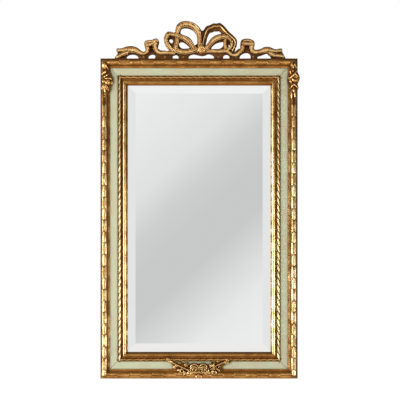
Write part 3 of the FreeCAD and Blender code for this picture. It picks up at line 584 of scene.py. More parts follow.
def outerSection(side):
    edge = outer["edgeWidth"]
    edgeRise = outer["edgeRise"]
    filletRise = outer["filletRise"]
    footRise = outer["footRise"]
    corner = outer["edgeRound"]
    shaded = laurel["railRelief"] if side in rails else 1.0
    torusEnd = edge + outer["torusWidth"]
    coveStart = torusEnd + outer["filletWidth"]
    edgeShade = outer["edgeShade"][side]
    section = [(0.0, 0.0, 1.0), (0.0, edgeRise - corner, 0.95), (corner, edgeRise, edgeShade),
               (edge - corner, edgeRise, edgeShade)]
    for i in range(outer["torusSteps"] + 1):
        angle = math.pi * i / outer["torusSteps"]
        inward = edge + outer["torusWidth"] * (1 - math.cos(angle)) / 2
        # painted shade along the torus's middle, where the side leaves part, weaker on the rails
        parted = math.exp(-(math.cos(angle) / 0.42) ** 4)
        section.append((inward, torusRise(inward), 0.30 + outer["parting"] * parted * shaded ** 2))
    section += [(torusEnd + corner, filletRise - 1.4 * mm, 0.70), (coveStart, filletRise, 0.2),
                (coveStart, filletRise, 0.15)]
    low, lowRise = outer["coveLow"]
    section += arcPoints((coveStart, filletRise - 0.5 * mm), (coveStart + low, lowRise),
                         (outerWidth - outer["footWidth"], footRise), 6, outer["coveShades"][side])
    return section + [(outerWidth, footRise, 0.55), (outerWidth, 0.0, 0.9)]


# Laurel: an almond leaf over a pair of side leaves, again and again along the torus
def leafShell(side, flow, hand, start, end, form, relief, edgeShades, rows=11):
    # a closed carved leaf on the torus, to either hand of its middle or over it (hand 0);
    # along is measured in the leaf's own direction of growth
    columns = (-1.0, -0.94, -0.6, -0.2, 0.0, 0.2, 0.6, 0.94, 1.0)
    width, widthStart, widthSpan, widthPower, height, rib = form
    liftStart, liftSpan, liftPower = laurel["lift"]
    shadeStart, shadeReach, shadeAmount = laurel["paintedShade"]
    vertices = []
    hollow = []
    lay = []
    for i in range(rows):
        share = i / (rows - 1)
        along = start + (end - start) * share
        middle = laurel["pairPlace"] + laurel["pairSpread"] * smoothStep(share * 1.3 - 0.3)
        half = torusHalf * width * math.sin(math.pi * (widthStart + widthSpan * share)) ** widthPower
        top = relief * height * math.sin(math.pi * (liftStart + liftSpan * share)) ** liftPower
        for across in columns:
            wall = abs(across) == 1 or i in (0, rows - 1)
            # painted shade: darkest on the walls, darker towards the edges and along the midrib, and on the
            # stiles' outer flank
            wallShade = edgeShades[0] if across < 0 else edgeShades[1]
            wallShade += edgeShades[2] * abs(2 * share - 1) ** 3
            inward = torusMiddle + hand * torusHalf * middle + across * (half + laurel["tipWidth"])
            midrib = rib * math.exp(-(across / laurel["ribWidth"]) ** 2)
            lift = -laurel["bedded"] if wall else top * (1 - laurel["dome"] * across * across - midrib)
            vertices.append(sidePoint(side, flow * along, inward, torusRise(inward) + lift))
            face = 0.02 + 1.2 * midrib
            face += (wallShade - face) * 0.45 * abs(across) ** 4
            paintedShade = shadeAmount * smoothStep((shadeStart - inward) / shadeReach) if side in uprights else 0.0
            hollow.append(wallShade if wall else face + paintedShade)
            lay.append((along, inward, 0.0))
    return vertices, sheetFaces(rows, len(columns)), {"hollow": hollow, "lay": lay}


def atOrigin(unit, side):
    # moves a unit made at the start of a side to the origin, where the repeats take it from
    unit.data.transform(Matrix.Translation(-sidePoint(side, 0.0, 0.0, 0.0)))
    return unit


def laurelUnit(side, flow, cut):
    # the two side leaves, then the almond over their feet, each with the painted shade of its outer, inner
    # and end edges; on the rails the relief is lower and the inner and end shade lighter
    shaded = laurel["railRelief"] if side in rails else 1.0
    relief = laurel["relief"] * (shaded + 1) / 2
    pair = (laurel["pairStart"], laurel["pairEnd"], laurel["pair"], relief)
    almond = (cut, laurel["almondLength"], laurel["almond"], relief)
    shells = [leafShell(side, flow, hand, *leaf, shades) for hand, leaf, shades in (
        (-1, pair, (0.3, shaded, 0.0)), (1, pair, (shaded, 0.3, 0.0)), (0, almond, (0.35, 0.35, 0.65 * shaded)))]
    return atOrigin(joinShells("laurel_unit_" + side, shells), side)


def repeatTree(name):
    # copies of one carved unit at an even pitch along a line, each slightly its own size
    tree = bpy.data.node_groups.new(name, "GeometryNodeTree")
    for label, kind in (("Geometry", "Geometry"), ("Unit", "Object"), ("Start", "Vector"), ("End", "Vector"),
                        ("Count", "Int"), ("Jitter", "Float"), ("Seed", "Int"), ("Finish", "Material")):
        tree.interface.new_socket(label, in_out="INPUT", socket_type="NodeSocket" + kind)
    tree.interface.new_socket("Geometry", in_out="OUTPUT", socket_type="NodeSocketGeometry")
    given = addNode(tree, "NodeGroupInput", output=None)
    line = addNode(tree, "GeometryNodeCurvePrimitiveLine", {"Start": given["Start"], "End": given["End"]})
    points = addNode(tree, "GeometryNodeResampleCurve", {"Curve": line, "Count": given["Count"]})
    unit = addNode(tree, "GeometryNodeObjectInfo", {"Object": given["Unit"]}, "Geometry")
    low = addNode(tree, "ShaderNodeMath", (1.0, given["Jitter"]), operation="SUBTRACT")
    high = addNode(tree, "ShaderNodeMath", (1.0, given["Jitter"]), operation="ADD")
    size = addNode(tree, "FunctionNodeRandomValue", {2: low, 3: high, "Seed": given["Seed"]}, 1)
    copies = addNode(tree, "GeometryNodeInstanceOnPoints", {"Points": points, "Instance": unit,
                                                            "Scale": size})
    real = addNode(tree, "GeometryNodeRealizeInstances", (copies,))
    joined = addNode(tree, "GeometryNodeJoinGeometry", (real,))
    tree.links.new(given["Geometry"], joined.node.inputs["Geometry"])
    dressed = addNode(tree, "GeometryNodeSetMaterial", {"Geometry": joined, "Material": given["Finish"]})
    addNode(tree, "NodeGroupOutput", (dressed,), None)
    return tree


repeatAlong = repeatTree("repeat_along_side")


def addRepeats(piece, unit, side, first, last, count, jitter, seed):
    # the unit repeats between two places along its side, and the piece takes its finish and plain mesh
    modifier = piece.modifiers.new("repeats", "NODES")
    modifier.node_group = repeatAlong
    values = {"Unit": unit, "Count": count, "Jitter": jitter, "Seed": seed,
              "Start": sidePoint(side, first, 0.0, 0.0), "End": sidePoint(side, last, 0.0, 0.0),
              "Finish": stileGilding if side in uprights else shadedRailGilding}
    for item in repeatAlong.interface.items_tree:
        if item.name in values:
            modifier[item.identifier] = values[item.name]
    graph = bpy.context.evaluated_depsgraph_get()
    finished = bpy.data.meshes.new_from_object(piece.evaluated_get(graph))
    finished.name = piece.name
    piece.modifiers.clear()
    piece.data = finished
    bpy.data.objects.remove(unit)


def laurelRuns(side):
    # (flow, first unit's start, last unit's start, count, cut) of each run, from the bottom's middle
    # outwards, up the stiles and in to the crest
    length = sideLayout[side][3]
    pitch = laurel["pitch"]
    if side in uprights:
        first = laurel["firstUnit"]
        count = int((length - first - laurel["dropRoom"]) / pitch)
        return [(1, first, first, 1, laurel["firstCut"]),
                (1, first + pitch, first + pitch * (count - 1), count - 1, 0.0)]
    half = length / 2
    count = laurel["railUnits"]
    if side == "top":
        return [(flow, half - flow * pitch * count, half - flow * pitch, count, 0.0) for flow in (1, -1)]
    return [(flow, half, half + flow * pitch * (count - 1), count, 0.0) for flow in (-1, 1)]


for side in sides:
    piece = sweptMoulding("laurel_moulding_" + side, side, outerSection(side), sides.index(side))
    for flow, first, last, count, cut in laurelRuns(side):
        unit = laurelUnit(side, flow, cut)
        addRepeats(piece, unit, side, first, last, count, laurel["jitter"], laurel["seed"])
    settle(piece, "gilt_wood", "outer_moulding_" + side)
print("laurel mouldings ready")


# Painted frieze boards, their long edges eased
frieze = {"steps": 8, "ease": 0.25 * mm}


def friezeSection():
    # painted shade on the board's long edges
    section = [(outerWidth, 0.0, 0.4)]
    for i in range(frieze["steps"] + 1):
        share = i / frieze["steps"]
        rise = friezeRise - frieze["ease"] * abs(2 * share - 1) ** 6
        section.append((outerWidth + friezeWidth * share, rise, 0.0))
    return section + [(outerWidth + friezeWidth, 0.0, 0.4)]


for side in sides:
    piece = sweptMoulding("painted_frieze_" + side, side, friezeSection(), 20 + sides.index(side), 0.8)
    piece.data.materials.append(sagePaint)
    settle(piece, "green_paint", "frieze_" + side)
print("friezes ready")


# Rope bead: long slanting lobes on a narrow fillet
rope = {
    "pitch": 22.4 * mm,
    "radius": 3.9 * mm,
    "run": 19 * mm,          # how far one strand travels over the bead
    "endRoom": 9 * mm,       # left plain at the mitres
    "filletRise": 8.6 * mm,
    "filletWidth": 1.4 * mm,
    "coreShare": 0.72,       # the plain core's share of the radius, and the lobes' walls lie within it
    "wallShare": 0.66,
    "halfTurn": 1.02,        # how far round a lobe reaches, in half turns
    "lobeShare": 0.98,       # share of the pitch that a lobe fills
    "crown": 1.12,           # how much higher than wide it stands
    # painted shade in the grooves between the strands
    "grooveShade": 0.62,
    "endShade": 0.42,        # painted shade where the strands go under
    "shift": {"left": 0.6 * mm},   # the left strand sits a little nearer the plate
    "seed": 3,
}
ropeMiddle = ropeInset + ropeWidth / 2


def ropeSection():
    edge = rope["filletWidth"]
    rise = rope["filletRise"]
    core = rope["radius"] * rope["coreShare"]
    # painted shade on the fillet's edges
    near = [(0.0, 0.0, 0.9), (0.0, rise - 0.4 * mm, 0.7), (0.4 * mm, rise, 0.5),
            (edge - 0.6 * mm, rise, 0.75), (edge, rise - 1.6 * mm, 1.0)]
    far = [(edge, rise - 1.6 * mm, 1.0), (edge - 0.6 * mm, rise, 0.75), (0.4 * mm, rise, 0.55),
           (0.0, rise - 0.4 * mm, 0.75), (0.0, 0.0, 0.9)]
    section = [(ropeInset + inward, lift, shade) for inward, lift, shade in near]
    for i in range(7):
        angle = math.pi * i / 6
        section.append((ropeMiddle - core * math.cos(angle), rise - 0.8 * mm + core * math.sin(angle),
                        rope["grooveShade"]))
    return section + [(ropeInset + ropeWidth - inward, lift, shade) for inward, lift, shade in far]


def ropeLobe(side):
    middle = ropeMiddle + rope["shift"].get(side, 0.0)
    core = rope["coreShare"]
    rows = 9
    columns = 7
    vertices = []
    hollow = []
    lay = []
    for i in range(rows):
        turn = math.pi * (i / (rows - 1) - 0.5) * rope["halfTurn"]
        for j in range(columns):
            across = 2 * j / (columns - 1) - 1
            wall = j in (0, columns - 1)
            swell = core + (1 - core) * (1 - across * across) ** 0.5
            radius = rope["radius"] * (rope["wallShare"] if wall else swell)
            along = rope["run"] * turn / math.pi + across * rope["pitch"] / 2 * rope["lobeShare"]
            inward = middle + radius * math.sin(turn)
            lift = rope["filletRise"] - 0.4 * mm + radius * math.cos(turn) * rope["crown"]
            vertices.append(sidePoint(side, along, inward, lift))
            # painted shade: the strands darker towards their edges and where they go under
            shade = 0.25 * across ** 4 - 0.06 + rope["endShade"] * abs(turn / math.pi * 2) ** 3
            hollow.append(rope["grooveShade"] if wall else shade)
            lay.append((along, inward, 0.0))
    shell = (vertices, sheetFaces(rows, columns), {"hollow": hollow, "lay": lay})
    return atOrigin(joinShells("rope_lobe_" + side, [shell]), side)


for side in sides:
    piece = sweptMoulding("rope_bead_carved_" + side, side, ropeSection(), 40 + sides.index(side))
    length = sideLayout[side][3]
    margin = ropeMiddle + rope["endRoom"]
    count = round((length - 2 * margin) / rope["pitch"]) + 1
    addRepeats(piece, ropeLobe(side), side, margin, length - margin, count, 0.0, rope["seed"])
    settle(piece, "gilt_wood", "rope_bead_" + side)
print("rope beads ready")


# Sight moulding: brown cove, burnished bead and the lip over the plate
sight = {
    "coveWidth": 4 * mm,
    "coveRise": 6.5 * mm,
    "coveDepth": 2.2 * mm,
    "beadWidth": 13.8 * mm,
    "beadFoot": 5 * mm,
    "beadRise": 10.5 * mm,
    # painted shade on the bead: darker at its foot, lighter at its crown
    "beadShades": (0.40, -0.05),
    "grooveAt": 7.6 * mm,       # a fine line turned along the bead
    "grooveWidth": 0.9 * mm,
    "grooveDepth": 1.0 * mm,
    # how strongly each side shows it, in depth and in painted shade
    "grooveShare": {"left": 1.0, "right": 0.5, "top": 0.8, "bottom": 0.8},
    "shadedFrom": 10.6 * mm,      # painted shade: the left one is browner from here to the plate
    "wearAndShade": {"left": 0.22},
    "lipRise": 1.6 * mm,
    # painted shade in each side's cove and on its lip, set for how the light falls on that side
    "coveShades": {"left": (0.42, 0.55), "right": (0.20, 0.32), "top": (-0.10, 0.0),
                   "bottom": (-0.16, -0.06)},
    "lipShade": {"left": 0.42, "right": 0.40, "top": 0.2, "bottom": 0.7},
    "trims": {"left": 1.0 * mm, "right": 2.0 * mm, "top": 2.2 * mm, "bottom": 4.2 * mm},
    # painted shade: the stiles' beads grow browner towards the top: how much, and from where to where across
    "topBeadShades": {"left": (0.26, 3.4 * mm, 15.8 * mm), "right": (0.46, 0.0, 9.6 * mm)},
    "beadShadeHeight": -270 * mm,       # the height where that begins
    "shadeReach": 230 * mm,
    "fade": 2 * mm,             # how soft the edges of the painted shade bands are
}
beadInset = sightInset + sight["coveWidth"]


def sightSection(side):
    coveRise = sight["coveRise"]
    foot = sight["beadFoot"]
    lipRise = sight["lipRise"]
    lipShade = sight["lipShade"][side]
    beadEnd = beadInset + sight["beadWidth"]
    edge = sightInset + sightWidth
    section = [(sightInset, 0.0, 0.9)]
    coveLow = (sightInset + sight["coveWidth"] / 2, coveRise - sight["coveDepth"])
    section += arcPoints((sightInset, coveRise), coveLow, (beadInset, foot), 6, sight["coveShades"][side])
    bead = arcPoints((beadInset + 0.3 * mm, foot), (beadInset + sight["beadWidth"] / 2, sight["beadRise"]),
                     (beadEnd, foot), 22, sight["beadShades"])
    for inward, rise, shade in bead:
        offLine = (inward - beadInset - sight["grooveAt"]) / sight["grooveWidth"]
        cut = math.exp(-offLine ** 2) * sight["grooveShare"][side]
        shaded = smoothStep((inward - beadInset - sight["shadedFrom"]) / sight["fade"])
        # painted shade in the groove line, and on the left towards the plate
        shade += 0.75 * cut + sight["wearAndShade"].get(side, 0.0) * shaded
        section.append((inward, rise - sight["grooveDepth"] * cut, shade))
    return section + [(beadEnd + 0.7 * mm, foot - 0.9 * mm, lipShade),
                      (edge - 1.0 * mm, lipRise + 0.5 * mm, lipShade),
                      (edge, lipRise, lipShade + 0.1), (edge, 0.0, 0.9)]


def shadeBeadTops(piece, side):
    # painted shade on the upper part of the stiles' beads
    outerEdge = sideLayout[side][0].x
    amount, start, finish = sight["topBeadShades"][side]
    for vertex, value in zip(piece.data.vertices, piece.data.attributes["hollow"].data):
        across = abs(outerEdge - vertex.co.x) - beadInset
        high = smoothStep((vertex.co.z - sight["beadShadeHeight"]) / sight["shadeReach"])
        band = smoothStep((across - start) / sight["fade"]) * smoothStep((finish - across) / sight["fade"])
        value.value += amount * high * band


for side in sides:
    piece = sweptMoulding("sight_bead_" + side, side, sightSection(side), 60 + sides.index(side),
                          trimFrom=beadInset, trims=sight["trims"])
    if side in uprights:
        shadeBeadTops(piece, side)
    piece.data.materials.append(burnishedGilding if side in uprights else shadedBurnishedRail)
    settle(piece, "gilt_wood", "sight_moulding_" + side)
print("sight mouldings ready")


# Carved shells. Places are photo pixels; heights are mm in front of the plane that the ornament stands on.
pathSteps = 5      # points drawn for each one of a path


def stripShell(path, profile, plane, root):
    # path: (px, py, width in px, height in mm)
    # profile: (place across, share of height, drop, painted shade, channel)
    rows = throughPoints(path, pathSteps)
    spots = [sightPoint(px, py, plane - height * mm) for px, py, width, height in rows]
    vertices = []
    lay = []
    travel = 0.0
    for i, (px, py, width, height) in enumerate(rows):
        before = spots[max(i - 1, 0)]
        after = spots[min(i + 1, len(rows) - 1)]
        tangent = Vector((after.x - before.x, 0, after.z - before.z)).normalized()
        across = Vector((-tangent.z, 0, tangent.x))
        half = width * photo["pixel"] / 2
        travel += (spots[i] - before).length
        for place, share, drop, *_ in profile:
            rise = max(root + (height * mm - root) * share - drop, root)
            point = spots[i] + across * place * half
            vertices.append(Vector((point.x, plane - rise, point.z)))
            lay.append((travel, place * half, 0.0))
    hollow = [point[3] for point in profile] * len(rows)
    channel = [float(point[4]) for point in profile] * len(rows)
    return vertices, tubeFaces(len(rows), len(profile)), {"hollow": hollow, "lay": lay, "channel": channel}


def bothSides(half, middle):
    # a whole profile from its right half, given from the edge inwards, and its middle
    return [(-place, *rest) for place, *rest in half] + [middle] + half[::-1]


# Profiles across a strip, in the rows that stripShell takes; their shades are painted shade on the walls and
# a painted highlight on the crowns
leafProfile = bothSides([(1.0, 0.0, 0.0, 0.95, 0), (1.0, 0.68, 0.0, 0.45, 0), (0.90, 0.88, 0.0, 0.0, 0),
                         (0.52, 1.0, 0.0, -0.20, 0), (0.20, 0.92, 0.0, 0.05, 0)], (0.0, 0.82, 0.0, 0.40, 0))
stemProfile = bothSides([(1.0, 0.0, 0.0, 0.85, 0), (1.0, 0.72, 0.0, 0.30, 0), (0.75, 0.90, 0.0, 0.0, 0)],
                        (0.0, 1.0, 0.0, -0.20, 0))
# painted shade on both slopes of the ridge, a painted highlight along its top
ridgeProfile = [(-1.0, 0.0, 0.0, 0.95, 0), (-1.0, 0.48, 0.0, 0.74, 0), (-0.45, 0.66, 0.0, 0.66, 0),
                (0.0, 0.84, 0.0, 0.60, 0), (0.16, 0.98, 0.0, 0.05, 0), (0.28, 1.0, 0.0, -0.12, 0),
                (0.42, 0.97, 0.0, 0.05, 0), (0.60, 0.80, 0.0, 0.62, 0), (1.0, 0.60, 0.0, 0.72, 0),
                (1.0, 0.0, 0.0, 0.95, 0)]


def ribbonProfile(depth, rim):
    # two rounded rims either side of a punched channel
    # painted shade on the walls and in the channel, a painted highlight on the rims
    half = [(1.0, 0.0, 0.0, 0.95, 0), (1.0, 1.0, 2.6 * mm, 0.90, 0),
            (1.0 - rim * 0.4, 1.0, 0.9 * mm, 0.60, 0), (1.0 - rim, 1.0, 0.0, -0.06, 0.5),
            (1.0 - rim * 1.8, 1.0, 0.5 * mm, 0.22, 0.6), (1.0 - rim * 2.4, 1.0, depth, 0.50, 1),
            (0.30, 1.0, depth * 0.8, -0.08, 1)]
    return bothSides(half, (0.0, 1.0, depth * 0.62, -0.12, 1))


# Rings of a round shell from its crown to its foot: (share of radius, share of height, painted shade);
# darkest at the foot
domeRings = ((0.22, 0.985, -0.20), (0.45, 0.93, -0.18), (0.66, 0.84, -0.10), (0.84, 0.70, 0.0),
             (0.97, 0.50, 0.25), (1.0, 0.0, 0.85))
cupRings = ((0.42, 0.50, 0.85), (0.56, 0.68, 0.45), (0.68, 0.92, -0.05), (0.86, 1.0, -0.25),
            (0.96, 0.88, -0.10), (1.0, 0.66, 0.30), (1.0, 0.0, 0.95))


def roundShell(px, py, radius, height, root, rings, crown, lobes=0, depth=0.0, turn=0.0, stretch=1.0,
               segments=20):
    # a fruit, berry, bud or whorl of petals on the mouldings; lobes cut the rim into petals
    centre = sightPoint(px, py, groundFace - height * mm)
    full = height * mm - root
    segments = lobes * 8 or segments
    vertices = [Vector((centre.x, groundFace - root - full * crown[0], centre.z))]
    hollow = [crown[1]]
    lay = [(0.0, 0.0, 0.0)]
    for out, share, shade in rings:
        for i in range(segments):
            angle = math.tau * i / segments
            notch = (1 - abs(math.cos(lobes * (angle - turn) / 2))) ** 2
            reach = radius * photo["pixel"] * out * (1 - depth * notch * out)
            rise = root + full * share * (1 - 0.45 * depth * notch * out)
            vertices.append(Vector((centre.x + reach * math.cos(angle), groundFace - rise,
                                    centre.z + reach * math.sin(angle) * stretch)))
            # painted shade in the notches between petals
            hollow.append(min(shade + notch * 0.75, 1.0))
            lay.append((reach * math.cos(angle), reach * math.sin(angle), 0.0))
    faces = [(0, 1 + i, 1 + (i + 1) % segments) for i in range(segments)]
    for face in tubeFaces(len(rings), segments)[:-2]:
        faces.append(tuple(1 + i for i in face))
    faces.append(tuple(range(len(vertices) - segments, len(vertices))))
    return vertices, faces, {"hollow": hollow, "lay": lay, "channel": [0.0] * len(vertices)}


slab = {
    "bevel": 0.9 * mm,
    "steps": 3,            # points drawn for each one of the outline
    "weld": 0.01 * mm,
}


def slabShell(outline, holes, height, plane, root, shades):
    # a flat pierced ground cut to an outline; the shades are the painted shade of its face and of its walls
    level = plane - (height * mm + root) / 2
    front = (height * mm - root) / 2
    curve = bpy.data.curves.new("outline", "CURVE")
    curve.dimensions = "2D"
    curve.fill_mode = "BOTH"
    curve.extrude = front - slab["bevel"]
    curve.bevel_depth = slab["bevel"]
    curve.bevel_resolution = 1
    curve.offset = -slab["bevel"]
    for loop in (outline, *holes):
        rounded = throughPoints([*loop, loop[0]], slab["steps"])[:-1]
        points = [sightPoint(px, py, level) for px, py in rounded]
        spline = curve.splines.new("POLY")
        spline.points.add(len(points) - 1)
        for item, point in zip(spline.points, points):
            item.co = (point.x, point.z, 0.0, 1.0)
        spline.use_cyclic_u = True
    shape = bpy.data.objects.new("outline", curve)
    bpy.context.scene.collection.objects.link(shape)
    graph = bpy.context.evaluated_depsgraph_get()
    work = bmesh.new()
    work.from_mesh(bpy.data.meshes.new_from_object(shape.evaluated_get(graph)))
    bmesh.ops.remove_doubles(work, verts=work.verts, dist=slab["weld"])
    work.verts.index_update()
    points = [vertex.co.copy() for vertex in work.verts]
    faces = [tuple(vertex.index for vertex in face.verts) for face in work.faces]
    work.free()
    bpy.data.objects.remove(shape)
    vertices = [Vector((point.x, level - point.z, point.y)) for point in points]
    hollow = [shades[0] if point.z > front - 0.2 * slab["bevel"] else shades[1] for point in points]
    lay = [(point.x, point.y, 0.0) for point in points]
    return vertices, faces, {"hollow": hollow, "lay": lay, "channel": [0.0] * len(points)}


def carvedPiece(name, shells, nodeName, finish, floorZ=-math.inf):
    piece = joinShells(name, shells, floorZ)
    piece.data.materials.append(finish)
    settle(piece, "gilt_wood", nodeName)


# Crest: a pierced board with ribbons carved on it, each a channel between two raised rims
crest = {
    "boardHeight": 12,         # mm, the pierced board's face over its back
    # painted shade on the pierced board behind the ribbons: its face, its walls
    "boardShades": (0.72, 0.88),
    "rim": 0.17,               # share of half a ribbon's width
    "channelDepth": 1.5 * mm,
    "strandRoot": 4 * mm,
}
crestOutlines = {
    "swag_left": [
        (114.6, 59.6), (115.0, 58.0), (115.6, 56.9), (116.7, 55.4), (117.8, 53.8), (117.3, 52.5),
        (116.5, 50.8), (116.6, 49.3), (117.8, 48.6), (120.5, 48.7), (123.1, 48.1), (125.5, 47.1),
        (128.5, 46.5), (131.1, 46.3), (133.8, 46.6), (136.5, 47.5), (138.8, 49.0), (140.8, 50.6),
        (142.8, 51.8), (144.5, 51.8), (145.8, 50.8), (146.3, 49.8), (145.6, 48.5), (144.6, 46.5),
        (144.3, 44.5), (144.5, 42.5), (145.5, 41.1), (147.5, 40.5), (149.8, 40.3), (152.1, 40.1),
        (154.1, 39.1), (156.1, 38.7), (157.8, 39.5), (159.0, 41.1), (159.1, 43.1), (158.5, 45.5),
        (158.0, 47.8), (158.5, 49.1), (159.8, 50.1), (162.0, 50.8), (164.1, 50.7), (166.9, 51.3),
        (170.5, 50.6), (175.4, 51.0), (175.6, 54.9), (173.7, 55.5), (172.4, 57.0), (171.9, 59.6),
        (156.1, 59.6), (155.6, 56.6), (154.4, 55.0), (152.8, 54.6), (150.6, 55.0), (148.6, 56.5),
        (147.5, 59.6), (139.1, 59.6), (138.4, 57.4), (136.4, 55.4), (132.8, 54.6), (129.2, 55.2),
        (126.8, 57.0), (125.8, 59.6)],
    "bow": [
        (175.4, 54.9), (175.2, 52.5), (172.0, 51.0), (168.8, 48.5), (167.4, 46.0), (165.2, 43.5),
        (164.1, 41.0), (163.9, 38.5), (164.6, 36.0), (165.8, 33.8), (167.4, 32.2), (169.7, 31.8),
        (172.4, 32.4), (174.9, 32.7), (175.2, 31.0), (175.8, 28.8), (176.9, 25.4), (178.6, 23.6),
        (181.3, 22.0), (184.1, 21.3), (188.0, 21.4), (191.3, 22.2), (194.1, 23.3), (196.9, 25.2),
        (199.1, 27.4), (200.8, 29.6), (202.1, 31.1), (203.8, 30.0), (205.2, 27.8), (207.1, 26.1),
        (209.3, 25.6), (211.6, 24.4), (213.8, 23.6), (216.6, 23.8), (219.3, 23.1), (221.6, 24.2),
        (223.8, 26.1), (226.0, 28.3), (227.9, 30.8), (230.4, 33.3), (232.7, 35.3), (234.9, 37.5),
        (236.6, 39.7), (237.1, 42.5), (236.8, 45.6), (236.0, 47.5), (234.3, 48.9), (233.2, 50.6),
        (232.4, 52.4), (228.4, 52.4), (227.3, 54.7), (225.4, 54.9), (223.4, 56.3), (222.4, 59.6),
        (214.9, 59.6), (213.8, 56.6), (212.1, 55.3), (209.9, 54.4), (207.7, 54.4), (204.9, 55.6),
        (202.1, 56.1), (199.7, 55.7), (196.3, 54.9), (194.1, 54.4), (191.3, 54.9), (189.1, 56.3),
        (187.4, 59.6), (179.1, 59.6), (178.7, 57.2), (177.4, 55.5)],
    "swag_right": [
        (227.1, 54.7), (227.6, 52.2), (231.0, 52.4), (234.9, 52.2), (236.3, 50.8), (237.1, 50.1),
        (238.5, 49.0), (240.1, 48.6), (240.5, 45.1), (240.3, 43.1), (241.0, 41.0), (242.3, 39.8),
        (244.5, 39.1), (246.5, 38.9), (249.1, 39.1), (251.8, 40.0), (253.6, 41.1), (254.6, 43.1),
        (254.5, 45.5), (254.0, 47.8), (254.3, 49.5), (255.8, 50.0), (257.8, 49.8), (259.8, 49.3),
        (261.8, 48.6), (263.5, 47.6), (265.8, 47.1), (268.1, 47.0), (270.5, 47.6), (272.5, 48.5),
        (274.5, 49.2), (276.5, 49.5), (278.5, 49.0), (280.5, 48.7), (281.8, 49.1), (282.3, 50.5),
        (282.1, 51.8), (282.5, 53.1), (283.5, 54.6), (284.1, 56.1), (284.6, 59.6), (271.3, 59.6),
        (270.9, 57.6), (269.8, 56.0), (268.5, 54.6), (267.1, 53.8), (265.1, 54.1), (262.8, 55.0),
        (260.1, 56.0), (257.8, 56.8), (256.5, 59.6), (251.1, 59.6), (250.6, 56.0), (249.0, 53.7),
        (246.5, 53.0), (243.0, 53.8), (240.2, 56.0), (238.6, 59.6), (229.9, 59.6), (229.4, 56.4)],
}
crestHoles = [      # the openings of the bow
    [(180.8, 31.0), (180.5, 32.7), (181.3, 34.3), (183.6, 35.4), (186.3, 36.3), (189.1, 37.7), (191.3, 39.9),
     (193.0, 42.7), (194.4, 45.2), (195.5, 45.2), (196.9, 43.8), (197.0, 41.0), (196.9, 37.7), (196.3, 34.9),
     (194.7, 32.1), (192.4, 30.2), (189.7, 28.5), (186.3, 27.7), (183.6, 27.7), (181.6, 29.1)],
    [(179.1, 43.8), (180.2, 42.4), (182.4, 42.1), (185.2, 43.5), (187.4, 45.4), (189.4, 47.4), (189.1, 48.5),
     (186.3, 48.8), (183.0, 48.9), (180.8, 47.9), (179.4, 46.0)],
    [(169.4, 39.9), (170.5, 39.2), (171.9, 39.3), (173.0, 40.7), (172.7, 42.7), (171.6, 43.5), (170.2, 42.7),
     (169.4, 41.3)],
    [(205.7, 44.4), (206.8, 40.6), (207.1, 37.2), (207.7, 34.4), (209.3, 32.5), (212.1, 31.4), (214.9, 30.6),
     (218.2, 29.9), (221.0, 30.0), (222.4, 31.1), (223.2, 33.1), (222.9, 34.0), (220.4, 34.2), (217.1, 35.0),
     (213.8, 36.4), (211.6, 38.3), (209.6, 40.6), (207.9, 43.1), (206.8, 44.7), (206.0, 45.1)],
    [(211.0, 48.6), (212.1, 46.9), (214.3, 44.7), (217.1, 43.1), (220.4, 42.2), (222.9, 41.9), (223.5, 43.3),
     (223.2, 45.0), (222.7, 46.7), (221.0, 48.3), (218.2, 49.2), (214.9, 49.2), (212.1, 49.2)],
    [(228.7, 45.2), (229.5, 44.9), (230.2, 45.7), (229.8, 46.9), (228.9, 47.1), (228.4, 46.3)],
]
